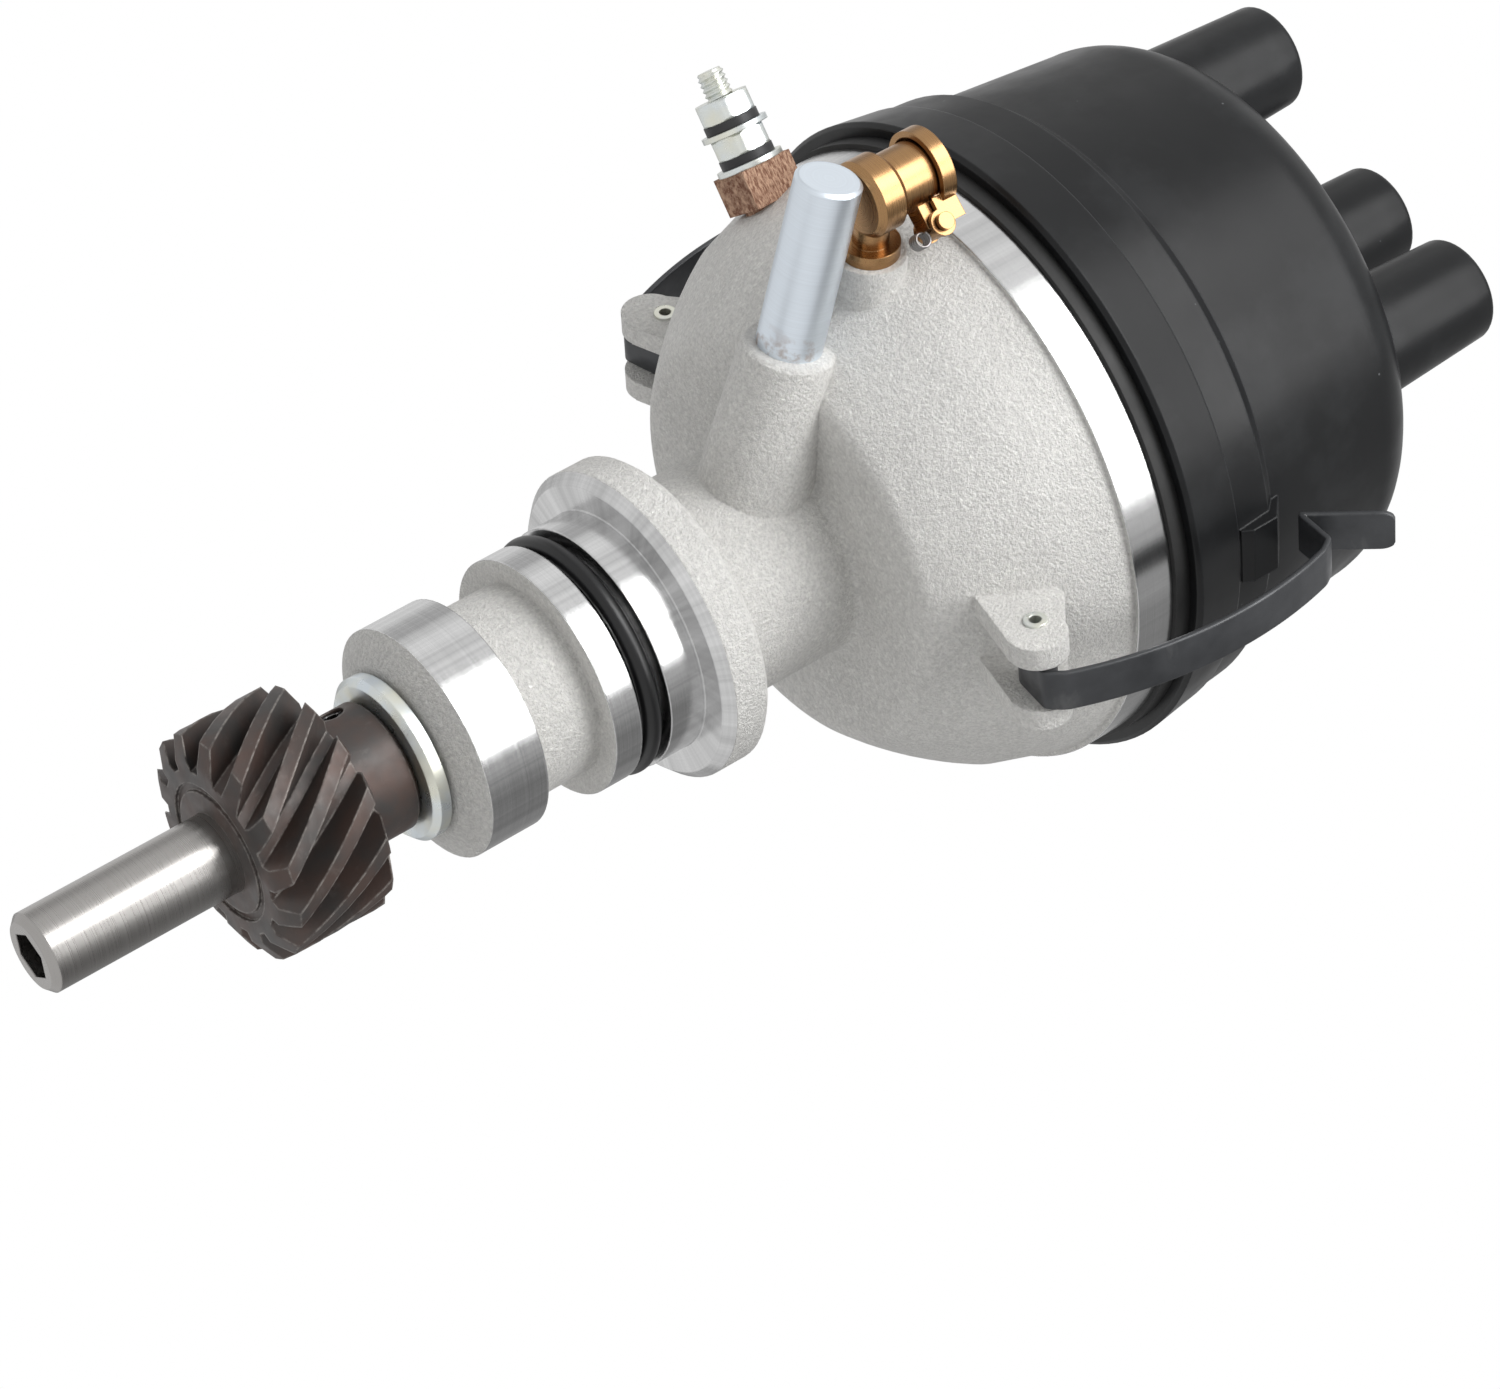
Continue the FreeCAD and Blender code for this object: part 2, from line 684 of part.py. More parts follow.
def oiler_hole():
    """Threaded hole for the oil cup and the duct that drips on the shaft."""
    start = OILER_PAD_RADIUS - OILER_STEM_BURIED
    outwards = polar(1, OILER_ANGLE)
    thread = cylinder(OILER_STEM_R, OILER_STEM_BURIED + 1, polar(start, OILER_ANGLE, OILER_STEM_Z), outwards)
    duct = cylinder(OIL_DUCT_R, 6, polar(start - 5, OILER_ANGLE, OILER_STEM_Z), outwards)
    return [thread, duct]


def plate_screw_holes(z, depth, radius):
    holes = []
    for angle in PLATE_SCREW_ANGLES:
        holes.append(cylinder(radius, depth, polar(PLATE_SCREW_PITCH_R, angle, z)))
    return holes


def plate_screw_bosses():
    """Two bosses inside the bowl that take the breaker plate screws."""
    bosses = []
    for angle in PLATE_SCREW_ANGLES:
        bosses.append(cylinder(3.6, 12, polar(PLATE_SCREW_PITCH_R, angle, LEDGE_Z - 12)))
    return bosses


def make_housing():
    body = housing_outside()
    solids = [terminal_pad(), post_boss(), oiler_pad()] + lug() + [rear(c) for c in lug()]
    body = body.fuse(solids)
    body = body.cut([housing_cavity(), shaft_bore()])
    inner = housing_outside().common(Part.makeCompound(plate_screw_bosses()))
    body = body.fuse(inner.Solids)
    reliefs = [clip_relief(), rear(clip_relief()), lug_pin_hole(), rear(lug_pin_hole())]
    body = body.cut(reliefs + terminal_holes() + [post_hole()] + oiler_hole())
    body = body.cut(plate_screw_holes(LEDGE_Z - 8, 9, PLATE_SCREW_R))
    return body.removeSplitter()


def make_o_ring():
    """Ring in its groove, level with the pilot so that the bore slides over it."""
    middle = (LAND_TOP_Z + PILOT_BOTTOM_Z) / 2
    ring_r = (PILOT_R - GROOVE_R) / 2 - 0.02
    return Part.makeTorus(GROOVE_R + ring_r, ring_r, V(0, 0, middle))


def make_lower_bushing():
    return tube(BUSHING_R, BUSHING_BORE_R, LOWER_BUSHING_LENGTH, V(0, 0, BOSS_BOTTOM_Z))


def make_upper_bushing():
    return tube(BUSHING_R, BUSHING_BORE_R, UPPER_BUSHING_LENGTH, V(0, 0, FLOOR_Z - UPPER_BUSHING_LENGTH))


def make_side_post():
    tip, inwards = post_frame()
    post = cylinder(POST_R, POST_VISIBLE + POST_BURIED, tip, inwards)
    return post.makeChamfer(POST_TIP_CHAMFER, [post.Edges[2]])


def oiler_point(z):
    return polar(OILER_RADIUS, OILER_ANGLE, z)


def lid_hinge():
    """Centre of the lid hinge, and the unit vectors to it and along it."""
    a = math.radians(LID_HINGE_ANGLE)
    aside = V(math.cos(a), math.sin(a), 0)
    centre = oiler_point(OILER_CUP_TOP_Z - LID_HINGE_DROP) + aside * LID_HINGE_REACH
    return centre, aside, V(-aside.y, aside.x, 0)


def make_oiler_body():
    shoulder = cylinder(
        OILER_SHOULDER_R,
        OILER_SHOULDER_TO - OILER_SHOULDER_FROM,
        oiler_point(OILER_STEM_Z + OILER_SHOULDER_FROM),
    )
    shoulder = shoulder.makeChamfer(0.9, shoulder.Edges)
    cup = cylinder(OILER_CUP_R, OILER_CUP_TOP_Z - OILER_STEM_Z, oiler_point(OILER_STEM_Z))
    stem_start = OILER_PAD_RADIUS - OILER_STEM_BURIED
    stem = cylinder(
        OILER_STEM_R,
        OILER_RADIUS - stem_start,
        polar(stem_start, OILER_ANGLE, OILER_STEM_Z),
        polar(1, OILER_ANGLE),
    )
    collar = cylinder(4.2, 2.0, polar(OILER_PAD_RADIUS, OILER_ANGLE, OILER_STEM_Z), polar(1, OILER_ANGLE))
    hinge, aside, along = lid_hinge()
    web_length = LID_HINGE_REACH - OILER_CUP_R + 1.0
    degrees = math.degrees(math.atan2(aside.y, aside.x))
    web_centre = hinge - aside * (web_length / 2) - V(0, 0, LID_EAR_R)
    inner = LID_EAR_GAP - 2 * LID_EAR_THICK - 0.6
    knuckle = cylinder(LID_EAR_R - 0.2, inner, hinge - along * (inner / 2), along)
    web = slab(web_length, inner, 2 * LID_EAR_R - 0.4, web_centre, degrees)
    body = shoulder.fuse([cup, stem, collar, knuckle, web])
    floor_z = OILER_STEM_Z - 0.6
    well = cylinder(OILER_CUP_R - OILER_WALL, OILER_CUP_TOP_Z - floor_z + 1, oiler_point(floor_z))
    passage = cylinder(
        1.1,
        OILER_RADIUS - stem_start + 1,
        polar(stem_start - 1, OILER_ANGLE, OILER_STEM_Z),
        polar(1, OILER_ANGLE),
    )
    pin_hole = cylinder(LID_PIN_R, inner + 2, hinge - along * (inner / 2 + 1), along)
    return body.cut([well, passage, pin_hole]).removeSplitter()


def make_oiler_wick():
    """Felt that fills the lower part of the oil cup."""
    floor_z = OILER_STEM_Z - 0.6
    return cylinder(OILER_CUP_R - OILER_WALL - 0.1, 4.2, oiler_point(floor_z + 0.05))


def make_oiler_lid():
    top = oiler_point(OILER_CUP_TOP_Z + BODY_GAP)
    plate = cylinder(LID_R, LID_THICK, top)
    skirt_r = OILER_CUP_R + BODY_GAP
    rim = tube(LID_R, skirt_r, LID_SKIRT, top - V(0, 0, LID_SKIRT))
    hinge, aside, along = lid_hinge()
    side_gap = LID_HINGE_REACH - LID_R
    degrees = math.degrees(math.atan2(aside.y, aside.x))
    window_centre = oiler_point(top.z - LID_SKIRT - 0.1) + aside * LID_R
    window = slab(4.0, LID_EAR_GAP - 2 * LID_EAR_THICK, LID_SKIRT + 0.1, window_centre, degrees)
    lid = plate.fuse(rim).cut(window)
    for side in (-1, 1):
        outer = hinge + along * (side * (LID_EAR_GAP - LID_EAR_THICK) / 2)
        ear = cylinder(LID_EAR_R, LID_EAR_THICK, outer - along * (LID_EAR_THICK / 2), along)
        strap_low = hinge.z
        strap_length = side_gap + 3.0
        centre = outer - aside * (strap_length / 2 - 0.4)
        strap_height = top.z + LID_THICK - strap_low
        foot = V(centre.x, centre.y, strap_low)
        strap = slab(strap_length, LID_EAR_THICK, strap_height, foot, degrees)
        lid = lid.fuse([ear, strap])
    hole = cylinder(LID_PIN_R + 0.05, LID_EAR_GAP + 2, hinge - along * (LID_EAR_GAP / 2 + 1), along)
    clearance = cylinder(skirt_r, LID_SKIRT + 4, oiler_point(top.z - LID_SKIRT - 4))
    return lid.cut([hole, clearance]).removeSplitter()


def make_oiler_lid_pin():
    hinge, aside, along = lid_hinge()
    length = LID_EAR_GAP + 1.6
    pin = cylinder(LID_PIN_R, length, hinge - along * (length / 2), along)
    heads = []
    for side in (-1, 1):
        start = hinge + along * (side * (LID_EAR_GAP / 2 + 0.25))
        heads.append(cylinder(1.25, 0.7, start, along * side))
    return pin.fuse(heads).removeSplitter()


def make_oiler_lid_spring():
    """Small torsion spring that hangs under the hinge knuckle."""
    hinge, aside, along = lid_hinge()
    length = 2.4
    base = hinge - along * (length / 2) + aside * 0.9 - V(0, 0, LID_EAR_R + 1.2)
    return coil(LID_SPRING_WIRE / 2, 1.0, length, 4, base, along)


def make_insulator():
    block = insulator_box(INSULATOR_SEAT_RADIUS, INSULATOR_END_RADIUS)
    return block.cut(terminal_cylinder(STUD_R + 0.1, INSULATOR_SEAT_RADIUS - 1, INSULATOR_END_RADIUS + 1))


def make_terminal_bush():
    sleeve = terminal_cylinder(BUSH_R, BUSH_FLANGE_RADIUS, INSULATOR_SEAT_RADIUS)
    flange = terminal_cylinder(BUSH_FLANGE_R, BUSH_FLANGE_RADIUS, BUSH_FLANGE_RADIUS + BUSH_FLANGE_THICK)
    hole = terminal_cylinder(STUD_R + 0.1, BUSH_FLANGE_RADIUS - 1, INSULATOR_SEAT_RADIUS + 1)
    return sleeve.fuse(flange).cut(hole).removeSplitter()


def terminal_stack():
    """Start radius of each piece on the stud, from the insulator outwards."""
    start = INSULATOR_END_RADIUS
    places = {}
    for name, thickness in (
        ("washer_1", FLAT_WASHER_THICK),
        ("lock_1", LOCK_WASHER_THICK),
        ("nut_1", NUT_THICK),
        ("washer_2", FLAT_WASHER_THICK),
        ("lock_2", LOCK_WASHER_THICK),
        ("nut_2", NUT_THICK),
    ):
        places[name] = start
        start += thickness
    return places


def make_terminal_stud():
    stud = terminal_cylinder(STUD_R, STUD_INNER_RADIUS, STUD_TIP_RADIUS)
    return stud.makeChamfer(0.4, [stud.Edges[0]])


def terminal_nut(start, thickness):
    outwards, base = terminal_frame()
    nut = hexagon(NUT_AF, thickness, base + outwards * start, outwards, Z_AXIS)
    blank = terminal_cylinder(NUT_AF / 2 + 0.35, start, start + thickness)
    nut = nut.common(blank.makeChamfer(0.3, [blank.Edges[0], blank.Edges[2]]))
    return nut.cut(terminal_cylinder(STUD_R, start - 1, start + thickness + 1))


def make_terminal_nuts():
    places = terminal_stack()
    inner = BUSH_FLANGE_RADIUS - INNER_NUT_THICK
    nuts = [
        terminal_nut(places["nut_1"], NUT_THICK),
        terminal_nut(places["nut_2"], NUT_THICK),
        terminal_nut(inner, INNER_NUT_THICK),
    ]
    return Part.makeCompound(nuts)


def terminal_ring(radius, start, thickness):
    ring = terminal_cylinder(radius, start, start + thickness)
    return ring.cut(terminal_cylinder(STUD_R + 0.05, start - 1, start + thickness + 1))


def make_terminal_washers():
    places = terminal_stack()
    rings = [terminal_ring(FLAT_WASHER_R, places[n], FLAT_WASHER_THICK) for n in ("washer_1", "washer_2")]
    return Part.makeCompound(rings)


def make_terminal_lock_washers():
    places = terminal_stack()
    rings = [terminal_ring(LOCK_WASHER_R, places[n], LOCK_WASHER_THICK) for n in ("lock_1", "lock_2")]
    return Part.makeCompound(rings)


def make_clip_pins():
    length = 2 * (PIN_LUG_OUTER + PIN_PROUD)
    base = V(-length / 2, PIN_RADIUS_FROM_AXIS, PIN_Z)
    pin = tube(PIN_R, PIN_BORE_R, length, base, V(1, 0, 0))
    return Part.makeCompound([pin, rear(pin)])


def make_clip():
    """Spring clip on the +Y side: eye, bowed strip, vee and thumb tab."""
    eye_bore = PIN_R + CLIP_EYE_GAP
    eye_mid = eye_bore + CLIP_THICK / 2
    start = (PIN_RADIUS_FROM_AXIS, PIN_Z - eye_mid)
    path = [start, CLIP_FOOT] + arc_points(CLIP_START, CLIP_BOW, CLIP_TOP, 13)
    path += [CLIP_BEND, CLIP_VEE, CLIP_TAB]
    strip = meridian_prism(ribbon(path, CLIP_THICK), CLIP_WIDTH)
    base = V(-CLIP_WIDTH / 2, PIN_RADIUS_FROM_AXIS, PIN_Z)
    ring = cylinder(eye_bore + CLIP_THICK, CLIP_WIDTH, base, V(1, 0, 0))
    bore = cylinder(eye_bore, CLIP_WIDTH, base, V(1, 0, 0))
    clip = strip.fuse(ring).cut(bore)
    return clip.removeSplitter()


def make_gasket():
    return tube(GASKET_R, GASKET_BORE_R, GASKET_THICK, V(0, 0, BOWL_RIM_Z))


def cap_outside():
    return turned([
        (0, GASKET_TOP_Z),
        (CAP_RIM_R - 0.6, GASKET_TOP_Z),
        (CAP_RIM_R, GASKET_TOP_Z + 0.6),
        (CAP_RIM_TOP_R, CAP_RIM_TOP_Z),
        (CAP_BAND_R, CAP_RIM_TOP_Z),
        (CAP_BAND_TOP_R, CAP_BAND_TOP_Z),
        (CAP_BODY_R, CAP_BODY_Z),
        (CAP_SHOULDER_R, CAP_SHOULDER_Z),
        (CAP_SHOULDER_MID, (CAP_TOP_R, CAP_TOP_Z)),
        (0, CAP_TOP_Z),
    ])


def cap_inside():
    """Room under the cap, with the spigot that drops into the bowl."""
    spigot_bore = SPIGOT_R - SPIGOT_WALL
    return turned([
        (0, GASKET_TOP_Z - SPIGOT_DEPTH - 1),
        (spigot_bore, GASKET_TOP_Z - SPIGOT_DEPTH - 1),
        (spigot_bore, GASKET_TOP_Z + 4),
        (CAP_BODY_R - CAP_WALL - 0.8, CAP_BODY_Z - 6),
        (CAP_SHOULDER_R - CAP_WALL, CAP_SHOULDER_Z - 4),
        ((CAP_SHOULDER_R - CAP_WALL - 2.2, CEILING_Z - 2.0), (CAP_TOP_R - CAP_WALL, CEILING_Z)),
        (0, CEILING_Z),
    ])


def tower_places():
    """Centre and tip height of the outer towers, then of the centre tower."""
    places = []
    for i in range(TOWER_COUNT):
        angle = TOWER_FIRST_DEG + i * 360.0 / TOWER_COUNT
        places.append((polar(TOWER_PITCH_R, angle), TOWER_TIP_Z))
    places.append((V(0, 0, 0), CENTRE_TOWER_TIP_Z))
    return places


def tower(centre, tip_z):
    foot_z = CAP_TOP_Z - 9
    height = tip_z - foot_z
    cone = Part.makeCone(TOWER_FOOT_R, TOWER_TIP_R, height, centre + V(0, 0, foot_z))
    tip_edge = max(cone.Edges, key=lambda e: e.CenterOfMass.z)
    return cone.makeFillet(TOWER_ROUND, [tip_edge])


def clip_ledge():
    """Moulded block on the +Y side whose sloping end the clip presses on."""
    outline = [
        (CAP_SHOULDER_R - 2, LEDGE_BLOCK_BOTTOM_Z),
        (LEDGE_BLOCK_RADIUS - 1.0, LEDGE_BLOCK_BOTTOM_Z),
        (LEDGE_BLOCK_RADIUS, LEDGE_BLOCK_BOTTOM_Z + 1.5),
        (LEDGE_BLOCK_RADIUS, LEDGE_BLOCK_TOP_Z - LEDGE_BLOCK_SLOPE_RUN),
        (LEDGE_BLOCK_RADIUS - LEDGE_BLOCK_SLOPE_RUN, LEDGE_BLOCK_TOP_Z),
        (CAP_SHOULDER_R - 2, LEDGE_BLOCK_TOP_Z),
    ]
    return meridian_prism(outline, LEDGE_BLOCK_WIDTH)


def make_cap():
    spigot = cylinder(SPIGOT_R, SPIGOT_DEPTH + 1, V(0, 0, GASKET_TOP_Z - SPIGOT_DEPTH))
    towers = [tower(centre, tip) for centre, tip in tower_places()]
    shell = cap_outside().fuse([spigot, clip_ledge(), rear(clip_ledge())] + towers)
    shell = shell.cut(cap_inside())
    bosses = []
    for centre, tip in tower_places()[:-1]:
        height = CEILING_Z - INSERT_BOSS_Z + 1
        bosses.append(cylinder(INSERT_BOSS_R, height, centre + V(0, 0, INSERT_BOSS_Z)))
    bosses.append(cylinder(BRUSH_BOSS_R, CEILING_Z - BRUSH_BOSS_Z + 1, V(0, 0, BRUSH_BOSS_Z)))
    shell = shell.fuse(bosses)
    holes = []
    for centre, tip in tower_places():
        holes.append(cylinder(SOCKET_R, SOCKET_DEPTH + 1, centre + V(0, 0, tip - SOCKET_DEPTH)))
    for insert in insert_solids():
        holes.append(insert)
    holes.append(cylinder(BRUSH_BORE_R, brush_spring_top() - BRUSH_BOSS_Z + 1, V(0, 0, BRUSH_BOSS_Z - 1)))
    return shell.cut(holes).removeSplitter()


def insert_solids():
    """Moulded-in contacts: a rod whose wider head is the socket's floor."""
    solids = []
    for centre, tip in tower_places():
        low = INSERT_TIP_Z if centre.Length > 0 else brush_spring_top()
        top = tip - SOCKET_DEPTH
        rod = cylinder(INSERT_R, top - low, centre + V(0, 0, low))
        head_base = centre + V(0, 0, top - INSERT_HEAD_HEIGHT)
        head = cylinder(INSERT_HEAD_R, INSERT_HEAD_HEIGHT, head_base)
        solids.append(rod.fuse(head).removeSplitter())
    return solids


def make_tower_inserts():
    return Part.makeCompound(insert_solids())


def brush_spring_top():
    return BRUSH_TIP_Z + BRUSH_LENGTH + 7.0


def make_carbon_brush():
    brush = cylinder(BRUSH_R, BRUSH_LENGTH, V(0, 0, BRUSH_TIP_Z))
    low = min(brush.Edges, key=lambda e: e.CenterOfMass.z)
    return brush.makeFillet(0.6, [low])


def make_brush_spring():
    bottom = BRUSH_TIP_Z + BRUSH_LENGTH + 0.4
    length = brush_spring_top() - bottom - 1.0
    return coil(BRUSH_SPRING_WIRE_R, BRUSH_SPRING_R, length, 4, V(0, 0, bottom + 0.2), Z_AXIS)


def make_drive_shaft():
    lower = cylinder(SHAFT_R, ADVANCE_BASE_Z - SHAFT_TIP_Z, V(0, 0, SHAFT_TIP_Z))
    tip_edge = min(lower.Edges, key=lambda e: e.CenterOfMass.z)
    lower = lower.makeChamfer(SHAFT_CHAMFER, [tip_edge])
    stub = cylinder(STUB_R, STUB_TOP_Z - ADVANCE_BASE_Z + 1, V(0, 0, ADVANCE_BASE_Z - 1))
    socket = hexagon(HEX_SOCKET_AF, HEX_SOCKET_DEPTH, V(0, 0, SHAFT_TIP_Z), Z_AXIS)
    pin = gear_pin_hole(SHAFT_R + 1)
    return lower.fuse(stub).cut([socket, pin]).removeSplitter()


def gear_pin_hole(reach):
    middle = V(0, 0, HUB_END_Z - GEAR_PIN_FROM_HUB_END)
    across = polar(1, GEAR_PIN_ANGLE)
    return cylinder(GEAR_PIN_R, 2 * reach, middle - across * reach, across)


def gear_outline(z, turn):
    """Closed outline of the toothed section at one height."""
    pitch = 2 * math.pi / GEAR_TEETH
    points = []
    for i in range(GEAR_TEETH):
        centre = i * pitch + turn
        for radius, half_share in (
            (GEAR_ROOT_R, -0.34),
            (GEAR_TIP_R, -0.17),
            (GEAR_TIP_R, 0.17),
            (GEAR_ROOT_R, 0.34),
        ):
            a = centre + half_share * pitch
            points.append(V(radius * math.cos(a), radius * math.sin(a), z))
    points.append(points[0])
    return Part.makePolygon(points)


def make_drive_gear():
    """Left-hand helical gear with its hub."""
    steps = 6
    sweep = GEAR_FACE * math.tan(math.radians(GEAR_HELIX_DEG)) / ((GEAR_TIP_R + GEAR_ROOT_R) / 2)
    sections = []
    for i in range(steps + 1):
        share = i / steps
        sections.append(gear_outline(GEAR_FRONT_Z + share * GEAR_FACE, -share * sweep))
    teeth = Part.makeLoft(sections, True, True)
    c = GEAR_END_CHAMFER
    blank = turned([
        (0, GEAR_FRONT_Z),
        (GEAR_TIP_R - 2 * c, GEAR_FRONT_Z),
        (GEAR_TIP_R + 0.1, GEAR_FRONT_Z + c),
        (GEAR_TIP_R + 0.1, GEAR_BACK_Z - c),
        (GEAR_TIP_R - 2 * c, GEAR_BACK_Z),
        (0, GEAR_BACK_Z),
    ])
    hub = cylinder(HUB_R, HUB_LENGTH + 1, V(0, 0, GEAR_BACK_Z - 1))
    hub_edge = max(hub.Edges, key=lambda e: e.CenterOfMass.z)
    hub = hub.makeChamfer(HUB_CHAMFER, [hub_edge])
    recess = tube(GEAR_RECESS_R, GEAR_RECESS_R - 1.2, GEAR_RECESS_DEPTH, V(0, 0, GEAR_FRONT_Z))
    bore = cylinder(SHAFT_R, HUB_END_Z - GEAR_FRONT_Z + 2, V(0, 0, GEAR_FRONT_Z - 1))
    gear = teeth.common(blank).fuse(hub).cut([recess, bore, gear_pin_hole(HUB_R + 1)])
    return gear.removeSplitter()


def make_gear_pin():
    """Slotted spring pin through the hub and the shaft."""
    across = polar(1, GEAR_PIN_ANGLE)
    middle = V(0, 0, HUB_END_Z - GEAR_PIN_FROM_HUB_END)
    reach = HUB_R - 0.5
    pin = tube(GEAR_PIN_R, GEAR_PIN_BORE_R, 2 * reach, middle - across * reach, across)
    slot = slab(2 * reach + 2, GEAR_PIN_SLOT, GEAR_PIN_R + 1, middle, GEAR_PIN_ANGLE)
    return pin.cut(slot)


def make_thrust_washer():
    washer = tube(WASHER_R, SHAFT_R + 0.1, WASHER_THICK, V(0, 0, WASHER_BOTTOM_Z))
    rim = [e for e in washer.Edges if abs(e.CenterOfMass.z - WASHER_BOTTOM_Z) < 0.01 and e.Curve.Radius > 7]
    return washer.makeChamfer(WASHER_BEVEL, rim)


def make_advance_base():
    """Oval plate pressed on the shaft, which carries the weights."""
    half = ADVANCE_BASE_HALF - ADVANCE_BASE_WIDTH / 2
    plate = capsule((-half, 0), (half, 0), ADVANCE_BASE_WIDTH / 2, ADVANCE_BASE_Z, ADVANCE_BASE_THICK)
    hole = cylinder(STUB_R, ADVANCE_BASE_THICK + 2, V(0, 0, ADVANCE_BASE_Z - 1))
    pins = []
    for side in (-1, 1):
        base = V(side * WEIGHT_PIVOT_R, 0, ADVANCE_BASE_Z - 1)
        pins.append(cylinder(WEIGHT_PIN_R - 0.1, ADVANCE_BASE_THICK + 2, base))
    return plate.cut([hole] + pins)


def make_weight_pins():
    pins = []
    for side in (-1, 1):
        base = V(side * WEIGHT_PIVOT_R, 0, ADVANCE_BASE_Z)
        foot = cylinder(WEIGHT_PIN_R - 0.1, ADVANCE_BASE_THICK, base)
        shoulder = base + V(0, 0, ADVANCE_BASE_THICK)
        stem = cylinder(WEIGHT_PIN_R, WEIGHT_PIN_TOP_Z - shoulder.z, shoulder)
        pins.append(foot.fuse(stem))
    return Part.makeCompound(pins)


def make_weight():
    """Weight with its pivot eye on +X and its drive pin on the far end."""
    z = WEIGHT_BOTTOM_Z
    body = sector(WEIGHT_INNER_R, WEIGHT_OUTER_R, WEIGHT_FROM_DEG, WEIGHT_TO_DEG, z, WEIGHT_THICK)
    eye = cylinder(WEIGHT_EYE_R, WEIGHT_THICK, V(WEIGHT_PIVOT_R, 0, z))
    neck_end = polar(WEIGHT_PIVOT_R - 3.6, 30)
    neck = capsule((WEIGHT_PIVOT_R, 0.0), (neck_end.x, neck_end.y), 2.9, z, WEIGHT_THICK)
    pin = cylinder(DRIVE_PIN_R, WEIGHT_THICK + DRIVE_PIN_RISE, V(DRIVE_PIN_AT[0], DRIVE_PIN_AT[1], z))
    hole = cylinder(WEIGHT_PIN_R + RUNNING_FIT, WEIGHT_THICK + 2, V(WEIGHT_PIVOT_R, 0, z - 1))
    return body.fuse([eye, neck, pin]).cut(hole).removeSplitter()


def make_advance_springs():
    """Light tension springs above the weights, one for each weight."""
    z = WEIGHT_BOTTOM_Z + WEIGHT_THICK + 0.75
    start = V(12.4, 13.6, z)
    spring = coil(0.15, 0.55, 9.0, 9, start, V(-1, 0.12, 0).normalize())
    return Part.makeCompound([spring, turn_copy(spring, 180)])


def make_cam_sleeve():
    """Cross plate, tube, four lobes and the rotor seat in one piece."""
    height = CAM_LOBE_Z - CAM_PLATE_Z
    sleeve = cylinder(CAM_TUBE_R, height, V(0, 0, CAM_PLATE_Z))
    slot_angle = math.degrees(math.atan2(DRIVE_PIN_AT[1], DRIVE_PIN_AT[0]))
    arm_end = polar(CAM_PLATE_R, slot_angle)
    first = (arm_end.x, arm_end.y)
    last = (-arm_end.x, -arm_end.y)
    arms = capsule(first, last, CAM_PLATE_WIDTH / 2, CAM_PLATE_Z, CAM_PLATE_THICK)
    lobes = cylinder(CAM_TIP_R, CAM_LOBE_HEIGHT, V(0, 0, CAM_LOBE_Z))
    square = slab(2 * CAM_FLAT_R, 2 * CAM_FLAT_R, CAM_LOBE_HEIGHT, V(0, 0, CAM_LOBE_Z), 45)
    lobes = lobes.common(square)
    seat = cylinder(CAM_TOP_R, CAM_TOP_Z - CAM_LOBE_Z, V(0, 0, CAM_LOBE_Z))
    key = slab(CAM_KEY_WIDTH, CAM_KEY_WIDTH, 6, polar(CAM_TOP_R, ROTOR_DEG, CAM_TOP_Z - 5), ROTOR_DEG)
    bore = cylinder(STUB_R + RUNNING_FIT, CAM_TOP_Z - CAM_PLATE_Z + 2, V(0, 0, CAM_PLATE_Z - 1))
    body = sleeve.fuse([arms, lobes, seat]).cut([bore, key])
    slots = []
    for turn in (0, 180):
        near = polar(CAM_SLOT_FROM + CAM_SLOT_WIDTH / 2, slot_angle + turn)
        far = polar(CAM_SLOT_TO - CAM_SLOT_WIDTH / 2, slot_angle + turn)
        ends = ((near.x, near.y), (far.x, far.y))
        slots.append(capsule(*ends, CAM_SLOT_WIDTH / 2, CAM_PLATE_Z - 1, CAM_PLATE_THICK + 2))
    return body.cut(slots).removeSplitter()


def make_cam_felt():
    """Oiling felt pressed into the open top of the cam sleeve."""
    return cylinder(STUB_R - 0.05, FELT_THICK, V(0, 0, CAM_TOP_Z - FELT_THICK))


def make_breaker_plate():
    plate = cylinder(PLATE_R, PLATE_THICK, V(0, 0, LEDGE_Z))
    holes = [cylinder(PLATE_HOLE_R, PLATE_THICK + 2, V(0, 0, LEDGE_Z - 1))]
    holes += plate_screw_holes(LEDGE_Z - 1, PLATE_THICK + 2, PLATE_SCREW_R + 0.2)
    for x, y in (POINTS_SCREW_AT, POINTS_PIVOT_AT):
        holes.append(cylinder(PLATE_SCREW_R, PLATE_THICK + 2, V(x, y, LEDGE_Z - 1)))
    strap_screw = condenser_screw_place()
    holes.append(cylinder(PLATE_SCREW_R, PLATE_THICK + 2, V(strap_screw.x, strap_screw.y, LEDGE_Z - 1)))
    notch_r = (STUD_INNER_RADIUS + PLATE_R) / 2
    notch_length = PLATE_R - STUD_INNER_RADIUS + 2
    notch_width = 2 * BUSH_FLANGE_R + 1.0
    notch_centre = polar(notch_r, TERMINAL_ANGLE, LEDGE_Z - 1)
    notch = slab(notch_length, notch_width, PLATE_THICK + 2, notch_centre, TERMINAL_ANGLE)
    return plate.cut(holes + [notch])


def slotted_screw(place, under_head_z, length):
    """Round-head screw with a driver slot."""
    head = cylinder(PLATE_SCREW_HEAD_R, 1.8, V(place.x, place.y, under_head_z))
    slot = slab(2 * PLATE_SCREW_HEAD_R + 1, 0.8, 1.0, V(place.x, place.y, under_head_z + 1.0), 30)
    shank = cylinder(PLATE_SCREW_R - 0.1, length, V(place.x, place.y, under_head_z - length))
    return head.cut(slot).fuse(shank)


